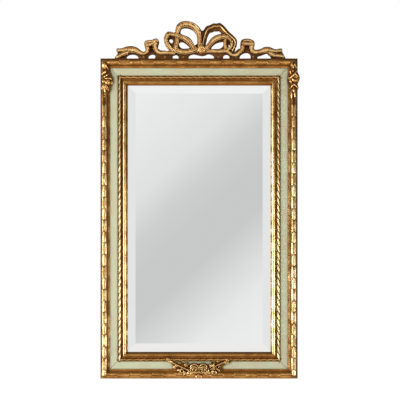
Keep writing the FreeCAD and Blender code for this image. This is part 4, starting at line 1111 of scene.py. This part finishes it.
crestRibbons = {
    "swag_left": [
        [(175.0, 53.4, 3.2, 20), (172.6, 53.0, 3.2, 20), (168.0, 52.7, 3.2, 20), (163.5, 52.6, 3.4, 21),
         (159.6, 52.5, 3.8, 22), (156.6, 50.9, 4.2, 23), (155.2, 48.2, 4.4, 24), (154.9, 45.4, 4.6, 25),
         (155.4, 42.4, 4.8, 25)],
        [(144.9, 42.9, 2.6, 22), (148.4, 41.6, 2.8, 22), (152.0, 41.2, 2.6, 22), (155.2, 40.2, 2.6, 22),
         (158.2, 41.4, 2.4, 22)],
        [(145.8, 44.6, 3.6, 26), (148.4, 44.8, 3.4, 26), (150.8, 44.0, 3.3, 26), (153.0, 42.7, 3.0, 26),
         (155.0, 41.4, 2.6, 26)],
        [(146.6, 43.4, 4.2, 25), (146.6, 46.4, 4.2, 25), (147.5, 49.2, 4.0, 24), (146.9, 51.4, 3.8, 23),
         (144.9, 53.0, 3.6, 22), (142.3, 53.4, 3.6, 22), (139.4, 52.4, 4.2, 22), (136.4, 50.8, 5.0, 22),
         (133.2, 49.9, 5.9, 22), (130.0, 49.8, 6.2, 22), (126.8, 50.5, 6.0, 22), (124.2, 51.1, 5.4, 22)],
        [(127.0, 49.0, 4.0, 24), (123.5, 49.8, 3.2, 23), (120.5, 50.3, 2.7, 22), (117.0, 50.3, 2.4, 20)],
        [(127.5, 52.2, 4.2, 23), (124.0, 53.4, 3.9, 22), (121.0, 54.9, 3.6, 21), (118.2, 56.3, 3.2, 20),
         (115.6, 57.5, 2.6, 18)],
    ],
    "bow": [
        [(200.6, 48.0, 4.2, 26), (199.4, 42.0, 4.2, 25), (199.1, 37.0, 4.3, 26), (198.5, 33.0, 4.7, 27),
         (196.5, 29.1, 5.4, 27), (193.4, 26.3, 5.8, 27), (189.6, 24.6, 6.0, 27), (185.6, 24.2, 5.8, 26),
         (182.0, 25.0, 5.3, 25), (179.3, 27.1, 4.6, 24), (177.7, 30.4, 4.0, 22), (177.0, 34.0, 3.8, 20),
         (177.2, 38.0, 3.8, 19), (176.9, 42.0, 4.0, 19), (175.8, 46.0, 4.2, 20), (176.0, 49.4, 4.6, 21),
         (179.0, 51.3, 4.8, 22), (184.0, 52.0, 5.0, 22), (188.4, 51.7, 4.8, 22), (192.8, 50.8, 4.4, 22),
         (198.0, 50.4, 4.0, 22)],
        [(174.7, 53.2, 3.8, 18), (172.3, 50.6, 3.8, 19), (169.6, 47.4, 3.9, 20), (167.1, 44.2, 3.9, 21),
         (165.9, 41.0, 3.8, 22), (166.0, 37.6, 3.8, 22), (168.0, 34.8, 3.8, 22), (171.4, 34.0, 3.6, 22),
         (175.6, 34.8, 3.7, 24), (180.3, 36.6, 4.1, 25), (184.0, 38.2, 4.5, 25), (187.5, 40.4, 5.0, 25),
         (190.0, 43.2, 5.0, 25), (192.2, 46.2, 4.7, 25), (195.0, 49.0, 4.3, 25), (198.5, 51.0, 4.0, 25)],
        [(202.4, 49.6, 3.4, 24), (203.4, 45.0, 3.8, 24), (204.2, 40.0, 4.2, 24), (205.5, 35.6, 4.5, 24),
         (206.9, 31.8, 5.0, 25), (209.0, 29.2, 5.6, 25), (211.8, 28.2, 6.0, 25), (214.2, 26.9, 6.4, 26),
         (216.7, 27.1, 6.3, 26), (219.3, 26.7, 6.5, 26), (221.6, 28.2, 6.0, 26), (224.2, 31.2, 5.4, 26),
         (227.2, 34.1, 5.0, 25), (230.4, 36.7, 4.8, 25), (233.2, 39.3, 4.9, 25), (234.6, 42.0, 4.8, 24),
         (234.2, 45.0, 4.6, 23), (232.9, 48.0, 4.4, 22), (231.4, 51.4, 3.8, 20)],
        [(204.6, 50.0, 3.8, 24), (208.3, 46.2, 4.3, 23), (211.0, 42.6, 4.7, 22), (214.0, 39.7, 4.9, 22),
         (217.0, 38.0, 5.0, 22), (220.4, 37.0, 4.9, 22), (224.0, 36.5, 4.5, 22), (227.2, 37.2, 3.6, 22),
         (229.8, 39.0, 3.0, 22), (231.6, 42.0, 2.8, 21), (231.4, 45.6, 2.8, 20), (229.4, 48.3, 3.0, 20),
         (226.2, 49.9, 3.3, 20)],
        [(225.6, 37.6, 3.2, 21), (225.1, 41.0, 3.3, 20), (225.1, 45.0, 3.3, 19), (225.6, 49.4, 3.4, 19)],
        [(203.6, 51.4, 3.6, 21), (208.0, 51.1, 3.5, 20), (212.0, 50.9, 3.5, 20), (218.0, 51.4, 3.6, 20),
         (223.0, 51.0, 3.6, 20), (227.0, 50.8, 3.4, 20)],
    ],
    "swag_right": [
        [(226.6, 50.9, 3.5, 21), (228.8, 52.3, 3.5, 21), (231.0, 54.1, 3.3, 20), (234.3, 55.0, 3.4, 20),
         (237.1, 54.4, 3.5, 21), (239.6, 52.5, 3.9, 22), (241.7, 50.2, 4.2, 23), (242.6, 47.4, 4.2, 24),
         (242.5, 44.6, 4.2, 24), (243.0, 42.2, 4.4, 24)],
        [(243.0, 41.3, 2.4, 22), (245.8, 40.3, 2.3, 22), (249.4, 40.5, 2.3, 22), (252.6, 42.0, 2.6, 22)],
        [(242.0, 43.3, 3.0, 26), (244.6, 43.5, 3.2, 26), (248.0, 43.6, 3.3, 26), (251.0, 43.7, 3.3, 26),
         (253.6, 43.6, 2.8, 25)],
        [(252.2, 42.8, 4.0, 24), (251.6, 46.0, 4.2, 24), (251.5, 48.9, 4.4, 23), (253.0, 51.2, 4.3, 22),
         (256.2, 52.1, 4.3, 22), (260.0, 51.6, 4.5, 22), (263.8, 50.6, 5.2, 22), (267.4, 50.1, 6.0, 22),
         (270.6, 50.8, 5.6, 22)],
        [(269.0, 49.8, 3.8, 24), (273.2, 50.7, 3.1, 23), (277.0, 50.9, 2.7, 22), (281.6, 50.4, 2.4, 20)],
        [(269.0, 52.4, 3.6, 23), (272.4, 54.4, 3.7, 22), (276.4, 55.4, 3.4, 21), (280.4, 55.7, 3.1, 20),
         (284.0, 56.8, 2.4, 18)],
    ],
}
ridged = ("bow", 2)      # the right loop: one sharp ridge instead of two rims
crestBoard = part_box("crest_bow")[1].y       # the board's flat back
knot = {
    "band": [(200.4, 43.4, 4.4, 24), (200.8, 45.6, 7.0, 27), (201.4, 48.2, 8.8, 27), (201.8, 50.8, 8.0, 26),
             (202.2, 53.2, 5.4, 22)],
    # painted shade on the knot's band
    "wearAndShade": 0.34,
    "pleats": [
        [(197.4, 51.0, 0.8, 24), (199.4, 49.8, 1.2, 27.4), (201.2, 47.0, 0.8, 27.6)],
        [(199.4, 53.0, 0.8, 24), (200.9, 51.2, 1.2, 27.4), (201.8, 47.6, 0.8, 27.8)],
        [(203.4, 53.0, 0.8, 24), (203.1, 51.4, 1.2, 27.4), (202.4, 47.8, 0.8, 27.8)],
        [(206.2, 50.4, 0.8, 24), (205.2, 49.0, 1.2, 27.4), (203.0, 46.8, 0.8, 27.6)],
    ],
}
channelProfile = ribbonProfile(crest["channelDepth"], crest["rim"])

for group in ("bow", "swag_left", "swag_right"):
    root = crest["strandRoot"]
    holes = crestHoles if group == "bow" else []
    shells = [slabShell(crestOutlines[group], holes, crest["boardHeight"], crestBoard, 0.0,
                        crest["boardShades"])]
    for order, path in enumerate(crestRibbons[group]):
        profile = ridgeProfile if (group, order) == ridged else channelProfile
        shells.append(stripShell(path, profile, crestBoard, root))
    if group == "bow":
        # the knot's band in painted shade
        shaded = [(*point[:3], point[3] + knot["wearAndShade"], point[4]) for point in stemProfile]
        shells.append(stripShell(knot["band"], shaded, crestBoard, root))
        shells += [stripShell(path, stemProfile, crestBoard, root) for path in knot["pleats"]]
    carvedPiece("ribbon_" + group, shells, "crest_" + group, punchedGilding, topEdge)
print("crest ready")


# Corner drops: a bud, leaves, fruit, a husk and berries on a ground in painted shade, hung over the laurel
dropCarving = {
    "left": {
        "groundHeight": 12.5,
        "ground": [(106.6, 61.2), (107.6, 63.6), (109.2, 67.6), (110.4, 72.2), (112.4, 76.6), (113.3, 80.0),
                   (112.7, 83.4), (111.2, 86.6), (110.4, 90.6), (108.6, 92.8), (107.4, 95.4), (105.6, 96.4),
                   (103.6, 94.6), (102.0, 91.2), (101.3, 85.0), (101.4, 79.0), (101.6, 72.0), (101.8, 65.0),
                   (103.4, 61.4)],
        "leaves": [
            [(104.6, 84.0, 1.4, 24), (103.4, 86.6, 3.2, 25), (101.4, 89.6, 1.2, 17)],
            [(104.6, 84.2, 1.4, 24), (106.5, 87.3, 3.0, 25), (109.0, 91.0, 0.9, 17)],
        ],
        "stems": [
            [(104.6, 68.8, 1.4, 20), (104.5, 66.6, 4.6, 24), (104.0, 64.0, 4.4, 26), (103.8, 61.2, 0.9, 22)],
            [(105.2, 64.6, 0.8, 23), (106.9, 66.8, 1.1, 23), (108.5, 69.4, 0.7, 18)],
            [(103.2, 73.6, 1.0, 21), (104.6, 71.9, 3.0, 24), (105.8, 70.2, 0.8, 21)],
            [(105.4, 76.2, 0.9, 21), (106.8, 74.9, 2.2, 24), (108.3, 73.6, 0.8, 19)],
            [(101.9, 75.2, 0.8, 18), (102.3, 73.2, 1.4, 20), (102.9, 71.2, 0.7, 19)],
            [(104.3, 77.8, 1.0, 22), (104.5, 76.2, 1.9, 24), (104.8, 74.8, 0.8, 22)],
            [(104.8, 78.9, 1.0, 23), (106.8, 78.1, 1.5, 26), (109.4, 78.3, 1.6, 25), (112.0, 79.7, 1.0, 18)],
            [(104.5, 86.0, 1.2, 25), (104.6, 89.4, 2.2, 26), (104.8, 92.6, 1.0, 24)],
        ],
        "fruit": [(107.3, 81.9, 3.2, 27), (111.0, 82.4, 2.0, 20), (103.6, 80.8, 2.4, 25)],
        "berries": [(102.4, 77.0, 1.1, 21), (105.1, 93.9, 1.6, 24), (104.7, 96.4, 1.5, 23)],
    },
    "right": {
        "groundHeight": 12.5,
        "ground": [(291.6, 61.2), (295.2, 61.4), (296.6, 66.0), (297.2, 71.4), (298.9, 75.0), (299.7, 78.0),
                   (299.0, 81.0), (297.6, 84.4), (298.6, 88.0), (297.0, 90.6), (295.4, 92.4), (294.6, 95.0),
                   (292.6, 95.2), (291.2, 91.4), (289.6, 88.8), (288.6, 85.0), (287.6, 81.4), (287.8, 77.8),
                   (288.9, 73.4), (289.8, 68.0), (290.8, 63.6)],
        "stems": [
            [(293.4, 68.4, 1.0, 19), (292.8, 66.2, 3.0, 22), (292.0, 64.0, 2.6, 24), (292.6, 61.6, 0.8, 21)],
            [(296.4, 68.0, 0.8, 18), (295.4, 65.6, 1.6, 20), (294.2, 63.4, 0.8, 20)],
            [(294.3, 83.9, 1.2, 24), (292.6, 85.6, 1.8, 26), (290.6, 88.4, 0.9, 19)],
            [(294.3, 84.1, 1.2, 24), (296.0, 85.8, 1.6, 25), (298.3, 88.7, 0.9, 17)],
            [(291.2, 74.2, 0.8, 20), (290.6, 71.6, 2.0, 23), (291.2, 69.6, 0.8, 20)],
            [(296.4, 71.4, 1.0, 22), (294.2, 74.2, 2.2, 26), (292.0, 76.4, 1.8, 26), (289.8, 78.6, 0.9, 20)],
            [(294.8, 72.8, 1.0, 24), (296.2, 74.6, 1.9, 25), (297.9, 77.0, 0.9, 19)],
            [(292.0, 77.2, 1.2, 25), (293.2, 79.4, 2.6, 28), (295.8, 80.4, 3.0, 28), (298.6, 78.4, 1.4, 22)],
            [(291.4, 83.4, 0.9, 20), (290.8, 81.0, 2.4, 24), (289.6, 79.0, 1.0, 20)],
            [(293.8, 87.8, 0.9, 24), (293.8, 89.8, 2.0, 25), (293.6, 92.0, 0.9, 24)],
            [(291.8, 90.6, 0.9, 22), (291.7, 94.0, 1.9, 24), (291.6, 98.6, 1.0, 21)],
            [(294.6, 90.8, 0.9, 22), (294.8, 93.6, 1.8, 24), (295.0, 97.4, 1.0, 21)],
        ],
        "fruit": [(295.4, 77.0, 2.7, 22), (289.8, 77.8, 1.5, 22)],
        "berries": [(291.9, 64.4, 1.3, 25), (293.3, 70.7, 1.5, 25), (290.6, 88.2, 0.9, 21),
                    (297.6, 81.4, 0.9, 20)],
    },
}


carvingRoot = 4 * mm      # where the small carving starts in front of the carcass


def carvedGroup(carving, groundShades):
    # a ground cut to its outline, and the leaves, stems, fruit, berries and flowers that stand on it
    height = carving["groundHeight"]
    shells = [slabShell(carving["ground"], [], height, groundFace, carvingRoot, groundShades)]
    for kind, profile in (("leaves", leafProfile), ("stems", stemProfile)):
        shells += [stripShell(path, profile, groundFace, carvingRoot) for path in carving.get(kind, [])]
    for kind, shade, form in (("fruit", 0.0, {}), ("berries", -0.05, {"segments": 12}),
                              ("flowers", 0.1, {"lobes": 5, "depth": 0.34})):
        for spot in carving.get(kind, []):
            shells.append(roundShell(*spot, carvingRoot, domeRings, (1.0, shade), turn=spot[0], **form))
    return shells


for hand, carving in dropCarving.items():
    # the ground in painted shade: its face, its walls
    shells = carvedGroup(carving, (0.78, 0.90))
    carvedPiece("fruit_drop_" + hand, shells, "corner_drop_" + hand, tonedGilding)
print("corner drops ready")


# Cartouche: two roses over leaves, a spray to each side and a shell below
roseForm = {
    "root": 8 * mm,
    "cup": 20,             # mm high
    "heart": (1.7, 26),    # its radius in px, its height in mm
}
# Petal edges of each rose, in px from its centre: (across, down, width, height in mm);
# the right rose mirrors the left
petals = (
    [(-3.9, -2.0, 0.9, 22), (-2.6, -4.3, 1.3, 24), (0.4, -5.3, 1.4, 25), (2.8, -4.3, 1.3, 24),
     (4.3, -2.4, 1.2, 23), (4.0, -0.8, 0.8, 22)],
    [(-3.4, 0.8, 0.8, 25), (-3.3, -1.2, 1.2, 27), (-1.8, -2.6, 1.4, 28), (0.6, -2.9, 1.4, 28),
     (2.6, -1.8, 1.2, 27), (3.2, 0.2, 0.8, 25)],
    [(-4.9, -0.6, 0.8, 25), (-5.2, 1.0, 1.3, 27), (-4.2, 2.8, 1.0, 26)],
    [(-3.0, 1.4, 0.8, 26), (-1.8, 2.8, 1.4, 28), (0.4, 2.7, 1.3, 28), (2.2, 1.4, 0.8, 26)],
)
petalTips = ((-3.0, 2.6, 1.3, 28), (2.5, 3.2, 1.4, 28), (0.2, 4.4, 1.1, 27), (4.4, 4.2, 1.0, 28))
roses = {"left": (194.0, 369.9, 4.8, 1), "right": (203.4, 369.9, 4.8, -1)}
cartouche = {
    "spray_left": {
        "ground": [(167.0, 359.0), (171.4, 360.7), (176.0, 362.2), (180.4, 361.9), (184.0, 363.6),
                   (187.4, 365.2), (187.6, 372.0), (185.0, 375.2), (180.0, 374.8), (176.6, 372.6),
                   (173.4, 371.0), (172.4, 368.4), (173.0, 365.4), (170.6, 362.8), (167.6, 360.8)],
        "groundHeight": 11,
        "leaves": [
            [(173.0, 362.8, 0.7, 14), (171.0, 361.8, 2.2, 17), (168.4, 361.2, 0.5, 14)],
            [(178.0, 365.6, 0.7, 17), (175.6, 366.5, 2.3, 20), (172.8, 367.6, 0.5, 17)],
            [(182.2, 369.2, 0.7, 19), (179.4, 370.2, 1.7, 20), (176.8, 370.4, 0.6, 17)],
            [(184.4, 371.4, 0.7, 22), (184.6, 373.6, 2.3, 24), (183.0, 375.8, 0.5, 21)],
        ],
        "stems": [
            [(166.8, 358.9, 0.9, 13), (169.4, 360.9, 1.1, 16), (172.0, 362.6, 1.1, 18),
             (176.0, 364.7, 1.1, 19), (180.0, 366.6, 1.1, 21), (183.4, 368.2, 1.3, 23),
             (187.6, 370.2, 1.3, 25)],
            [(184.0, 371.0, 1.0, 23), (182.9, 373.0, 1.1, 24), (180.8, 372.6, 1.1, 24),
             (180.2, 370.6, 1.1, 24), (181.8, 369.3, 1.1, 24), (183.3, 370.3, 1.0, 24)],
        ],
        "berries": [(179.3, 363.4, 1.4, 20), (175.0, 368.2, 1.7, 22), (179.3, 373.3, 1.3, 22),
                    (181.9, 371.0, 1.2, 19)],
        "flowers": [(168.1, 359.7, 2.1, 18), (186.3, 365.6, 2.7, 25)],
    },
    "spray_right": {
        "ground": [(231.4, 358.8), (227.0, 359.4), (222.4, 361.4), (218.6, 360.6), (214.6, 362.2),
                   (210.4, 363.6), (209.8, 372.0), (212.4, 375.2), (217.0, 374.8), (220.4, 372.8),
                   (222.6, 371.0), (223.2, 368.8), (222.0, 366.8), (225.6, 364.4), (229.6, 362.6),
                   (232.0, 360.4)],
        "groundHeight": 11,
        "leaves": [
            [(209.6, 368.2, 0.7, 22), (210.6, 365.8, 2.4, 24), (211.3, 362.6, 0.5, 20)],
            [(211.8, 367.6, 0.7, 21), (213.3, 365.3, 2.3, 23), (215.2, 362.5, 0.5, 18)],
            [(215.8, 367.8, 0.7, 19), (217.8, 369.9, 1.8, 21), (220.2, 371.4, 0.6, 18)],
            [(213.0, 369.4, 0.7, 22), (212.4, 372.2, 2.6, 24), (210.6, 375.2, 0.5, 21)],
            [(215.0, 370.6, 0.7, 21), (215.9, 372.9, 2.2, 23), (215.6, 375.2, 0.5, 20)],
            [(224.0, 362.6, 0.7, 15), (226.2, 363.4, 2.0, 17), (228.8, 363.2, 0.5, 14)],
        ],
        "stems": [
            [(210.6, 369.6, 1.1, 24), (214.0, 367.5, 1.2, 22), (217.5, 365.2, 1.1, 20),
             (221.0, 363.9, 1.1, 18), (225.0, 362.0, 1.1, 16), (229.4, 359.4, 1.0, 13)],
        ],
        "berries": [(214.3, 369.3, 1.5, 26), (217.9, 361.9, 1.5, 18), (219.1, 366.9, 1.6, 21),
                    (230.6, 359.7, 1.1, 15)],
        "flowers": [(227.6, 360.4, 2.2, 18)],
    },
    "cartouche_leaves": {
        "ground": [(186.8, 366.2), (190.0, 365.2), (194.0, 364.6), (198.8, 365.4), (203.6, 364.6),
                   (207.6, 365.2), (211.0, 366.4), (212.6, 370.4), (211.4, 373.8), (206.6, 375.0),
                   (202.6, 375.0), (199.0, 374.8), (195.4, 375.0), (191.0, 375.0), (186.6, 373.8),
                   (185.2, 370.4)],
        "groundHeight": 15,
        "leaves": [
            [(190.8, 371.2, 0.8, 25), (188.7, 372.7, 2.6, 28), (186.2, 374.0, 0.7, 24)],
            [(193.6, 372.6, 0.8, 25), (191.6, 373.6, 2.3, 28), (189.4, 375.4, 0.7, 24)],
            [(197.0, 371.4, 0.8, 26), (196.3, 372.6, 2.1, 29), (194.8, 374.0, 0.7, 25)],
            [(200.6, 371.4, 0.8, 26), (201.2, 372.6, 2.1, 29), (202.8, 374.0, 0.7, 25)],
            [(204.0, 372.6, 0.8, 25), (205.4, 373.6, 2.3, 28), (207.6, 375.4, 0.7, 24)],
            [(206.8, 371.2, 0.8, 25), (208.8, 372.7, 2.6, 28), (211.2, 374.0, 0.7, 24)],
            [(198.8, 370.2, 0.8, 25), (198.8, 367.6, 2.2, 27), (198.8, 364.6, 0.6, 22)],
            [(198.8, 370.4, 0.8, 26), (198.7, 372.4, 2.4, 29), (198.6, 374.4, 0.8, 26)],
        ],
    },
}
pendant = {
    "centre": (198.7, 376.9),
    "radius": 3.5,
    "height": 31,
    "stretch": 0.58,
    # painted shade on the pendant's rim, its face lighter
    "rings": ((0.50, 0.995, -0.25), (0.82, 0.97, -0.25), (0.94, 0.90, -0.20), (1.0, 0.76, 0.0),
              (1.0, 0.0, 0.80)),
}

for name, (px, py, radius, hand) in roses.items():
    root = roseForm["root"]
    # painted shade on the rose's cup and, darker, in its heart
    shells = [roundShell(px, py, radius, roseForm["cup"], root, domeRings, (1.0, 0.5))]
    for path in petals:
        placed = [(px + dx * hand, py + dy, width, height) for dx, dy, width, height in path]
        shells.append(stripShell(placed, stemProfile, groundFace, root))
    for dx, dy, size, height in petalTips:
        shells.append(roundShell(px + dx * hand, py + dy, size, height, root, domeRings, (1.0, -0.15),
                                 segments=10))
    shells.append(roundShell(px, py, *roseForm["heart"], root, cupRings, (0.5, 0.9), segments=12))
    carvedPiece("carved_rose_" + name, shells, "rose_" + name, roseGilding)
for name, carving in cartouche.items():
    # the grounds in painted shade: their faces, their walls
    carvedPiece("carved_" + name, carvedGroup(carving, (0.80, 0.90)), name, roseGilding)
shell = roundShell(*pendant["centre"], pendant["radius"], pendant["height"], roseForm["root"],
                   pendant["rings"], (1.0, -0.25), stretch=pendant["stretch"], segments=28)
carvedPiece("carved_shell_pendant", [shell], "leaf_pendant", rubbedGilding)
print("cartouche ready")


# The pieces carried over from the construction get their finishes; the first row that fits a name counts
finishes = (
    (screwSteel, ("corner_plate_screws", "turn_button_screws", "hanger_screws", "crest_brace_screws")),
    (uprightPine, ("carcass_left", "carcass_right", "rebate_fillets")),
    (levelPine, ("carcass",)),
    (backingPly, ("backing_board",)),
    (turnedBeech, ("corner_keys", "crest_dowels")),
    (plateFinish, ("mirror_plate",)),
    (silverPaint, ("silvering",)),
    (padFelt, ("wall_pads",)),
    (dullBrass, ("turn_button",)),
    (zincSteel, ("hanger", "corner_plates", "crest_braces")),
)
for name in nodes:
    fitting = [finish for finish, starts in finishes if name.startswith(starts)]
    if fitting:
        nodes[name].data.materials.clear()
        nodes[name].data.materials.append(fitting[0])
print("finishes set")


# Stage, lights and camera
studio = {
    "floorDrop": 0.16,         # floor under the mirror's bottom edge
    "floorHalf": 6.0,
    "floorColor": "#F6F6F4",
    "floorWhite": 0.92,        # share of plain white that the camera sees in the floor
    "floorGlow": 1.06,         # and how bright that white is
    "fill": 0.485,             # soft light from all round
    "plateShare": 0.93,        # how much the plate gives back
    "roomHigh": 0.11,          # what polished gold sees above and below
    "roomLow": 0.58,
    "roomTint": (1.0, 0.74, 0.42, 1.0),
}
# The bright wall in front of the mirror: a soft shaded valley that runs slantwise across it.
# (share of the way across the valley, its grey)
wallValley = ((0.0, "#ECECEC"), (0.28, "#E0E0E0"), (0.40, "#CECECE"), (0.50, "#C8C8C8"), (0.63, "#C8C8C8"),
              (0.74, "#D8D8D8"), (0.85, "#E7E7E7"), (1.0, "#ECECEC"))
wallEdges = {"aside": "#E4E4E4", "above": "#EFEFEF", "below": "#ECECEC"}    # its grey past each edge
wallSlant = {"across": 0.94, "up": -1.0, "offset": -0.0219, "span": 0.4629}
# Figures of a direction x, y, z: name, operation, values
wallFigures = (
    ("back", "MULTIPLY", "y", -1.0),
    ("forward", "MAXIMUM", "back", 0.05),
    ("across", "DIVIDE", "x", "forward"),
    ("up", "DIVIDE", "z", "forward"),
    ("climb", "MULTIPLY_ADD", "up", wallSlant["up"], wallSlant["offset"]),
    ("slant", "MULTIPLY_ADD", "across", wallSlant["across"], "climb"),
    ("spread", "DIVIDE", "slant", wallSlant["span"]),
    ("place", "ADD", "spread", 0.5),
    ("farAcross", "ABSOLUTE", "across"),
    ("steep", "ABSOLUTE", "z"),
    ("acrossSquare", "MULTIPLY", "across", "across"),
    ("reachSquare", "MULTIPLY_ADD", "up", "up", "acrossSquare"),
    ("reach", "SQRT", "reachSquare"),
    ("xSquare", "MULTIPLY", "x", "x"),
    ("flatSquare", "MULTIPLY_ADD", "y", "y", "xSquare"),
    ("flatLength", "SQRT", "flatSquare"),
    ("flat", "MAXIMUM", "flatLength", 0.01),
    ("turn", "DIVIDE", "x", "flat"),
)
# Where each part of the surroundings fades: name, figure, from, to, the value at each end
wallFades = (
    ("aside", "farAcross", 0.12, 0.18, 0.0, 1.0),
    ("above", "up", 0.17, 0.24, 0.0, 1.0),
    ("below", "up", -0.22, -0.28, 0.0, 1.0),
    ("beyond", "reach", 0.55, 0.95, 0.0, 1.0),
    ("warmth", "steep", 0.30, 0.65, 0.0, 1.0),
    ("level", "steep", 0.30, 0.70, 1.0, 0.0),
    ("ahead", "y", 0.15, -0.35, 0.0, 1.0),
    ("leftGlow", "turn", -0.36, -0.60, 0.0, 0.55),
    ("rightGlow", "turn", 0.36, 0.55, 0.0, 0.90),
    ("rightEnd", "turn", 0.80, 1.0, 1.0, 0.0),
    ("rightTop", "z", -0.13, 0.06, 1.0, 0.0),
)
lights = (
    # name, place, aim, width, height, power, color
    ("key_softbox", (-2.1, -1.45, -0.35), (0.0, 0.0, -0.1), 1.3, 1.9, 60, (1, 0.98, 0.94)),
    ("rake_softbox", (-2.2, -0.15, -0.45), (0.0, -0.05, -0.1), 0.8, 1.9, 20, (1, 0.97, 0.92)),
    ("fill_softbox", (2.2, -1.2, -0.75), (0.0, 0.0, -0.1), 0.7, 1.3, 30, (1, 0.98, 0.95)),
)


def makeFloor():
    # White paper, seen by the camera as nearly plain white
    half = studio["floorHalf"]
    z = bottomEdge - studio["floorDrop"]
    floor = putMesh("studio_floor", [(-half, -half, z), (half, -half, z), (half, half, z), (-half, half, z)],
                    [(0, 1, 2, 3)])
    material, tree, shader, _ = newMaterial("floor_paper")
    feed(tree, shader, {"Base Color": hexColor(studio["floorColor"]), "Roughness": 0.9})
    rays = addNode(tree, "ShaderNodeLightPath", output=None)
    seen = addNode(tree, "ShaderNodeMath", (rays["Is Camera Ray"], rays["Is Transmission Ray"]),
                   operation="MAXIMUM")
    share = addNode(tree, "ShaderNodeMath", (seen, studio["floorWhite"]), operation="MULTIPLY")
    glow = addNode(tree, "ShaderNodeEmission", {"Color": (1, 1, 1, 1), "Strength": studio["floorGlow"]})
    mixed = addNode(tree, "ShaderNodeMixShader", (share, shader.outputs[0], glow))
    feed(tree, tree.nodes["Material Output"], {"Surface": mixed})
    floor.data.materials.append(material)
    floor.visible_glossy = False


def makeWorld():
    # The camera sees white, polished gold and glass see the wall and a warm room, the rest a soft fill
    world = bpy.data.worlds.new("studio")
    bpy.context.scene.world = world
    world.use_nodes = True
    tree = world.node_tree
    tree.nodes.clear()
    rays = addNode(tree, "ShaderNodeLightPath", output=None)
    heading = addNode(tree, "ShaderNodeTexCoord", output="Generated")
    got = dict(zip("xyz", addNode(tree, "ShaderNodeSeparateXYZ", (heading,), None)))
    for name, operation, *values in wallFigures:
        given = [got.get(value, value) for value in values]
        got[name] = addNode(tree, "ShaderNodeMath", given, operation=operation)
    for name, figure, *fade in wallFades:
        got[name] = addNode(tree, "ShaderNodeMapRange", (got[figure], *fade),
                            interpolation_type="SMOOTHSTEP")
    wall = addNode(tree, "ShaderNodeValToRGB", (got["place"],), stops=wallValley)
    wall = addNode(tree, "ShaderNodeMath", (wall, studio["plateShare"]), operation="DIVIDE")
    for edge, code in wallEdges.items():
        grey = hexColor(code)[0] / studio["plateShare"]
        wall = addNode(tree, "ShaderNodeMix", {0: got[edge], 2: wall, 3: grey})
    room = addNode(tree, "ShaderNodeMapRange", (got["z"], -0.5, 0.5, studio["roomLow"], studio["roomHigh"]))
    seen = addNode(tree, "ShaderNodeMix", {0: got["beyond"], 2: wall, 3: room})
    right = addNode(tree, "ShaderNodeMath", (got["rightGlow"], got["rightEnd"]), operation="MULTIPLY")
    glow = addNode(tree, "ShaderNodeMath", (right, got["rightTop"], got["leftGlow"]),
                   operation="MULTIPLY_ADD")
    near = addNode(tree, "ShaderNodeMath", (got["level"], got["ahead"]), operation="MULTIPLY")
    seen = addNode(tree, "ShaderNodeMath", (near, glow, seen), operation="MULTIPLY_ADD")
    tint = addNode(tree, "ShaderNodeMix", {0: got["warmth"], 6: (1, 1, 1, 1), 7: studio["roomTint"]}, 2,
                   data_type="RGBA")
    fill = addNode(tree, "ShaderNodeBackground", ((1, 0.99, 0.97, 1), studio["fill"]))
    mirrored = addNode(tree, "ShaderNodeBackground", (tint, seen))
    white = addNode(tree, "ShaderNodeBackground", ((1, 1, 1, 1), 1.0))
    polished = addNode(tree, "ShaderNodeMath", (rays["Is Glossy Ray"], rays["Is Transmission Ray"]),
                       operation="MAXIMUM")
    mixed = addNode(tree, "ShaderNodeMixShader", (polished, fill, mirrored))
    mixed = addNode(tree, "ShaderNodeMixShader", (rays["Is Camera Ray"], mixed, white))
    addNode(tree, "ShaderNodeOutputWorld", (mixed,), None)


def addSoftbox(name, place, aim, width, height, power, color):
    light = bpy.data.lights.new(name, "AREA")
    light.shape = "RECTANGLE"
    light.size = width
    light.size_y = height
    light.energy = power
    light.color = color
    lamp = bpy.data.objects.new(name, light)
    lamp.location = place
    lamp.rotation_euler = (aim - place).to_track_quat("-Z", "Y").to_euler()
    bpy.context.scene.collection.objects.link(lamp)


makeFloor()
makeWorld()
middle = Vector((0, 0, (topEdge + bottomEdge) / 2))
for name, place, aim, *rest in lights:
    addSoftbox(name, Vector(place) + middle, Vector(aim) + middle, *rest)

cameraData = bpy.data.cameras.new("view")
cameraData.lens = photo["lens"]
cameraData.sensor_width = photo["sensor"]
camera = bpy.data.objects.new("view", cameraData)
camera.location = (cameraX, photo["frontPlane"] - cameraDistance, cameraZ)
camera.rotation_euler = (math.radians(90), 0, 0)
bpy.context.scene.collection.objects.link(camera)
bpy.context.scene.camera = camera
bpy.context.scene.view_settings.view_transform = "Standard"
print("stage ready")
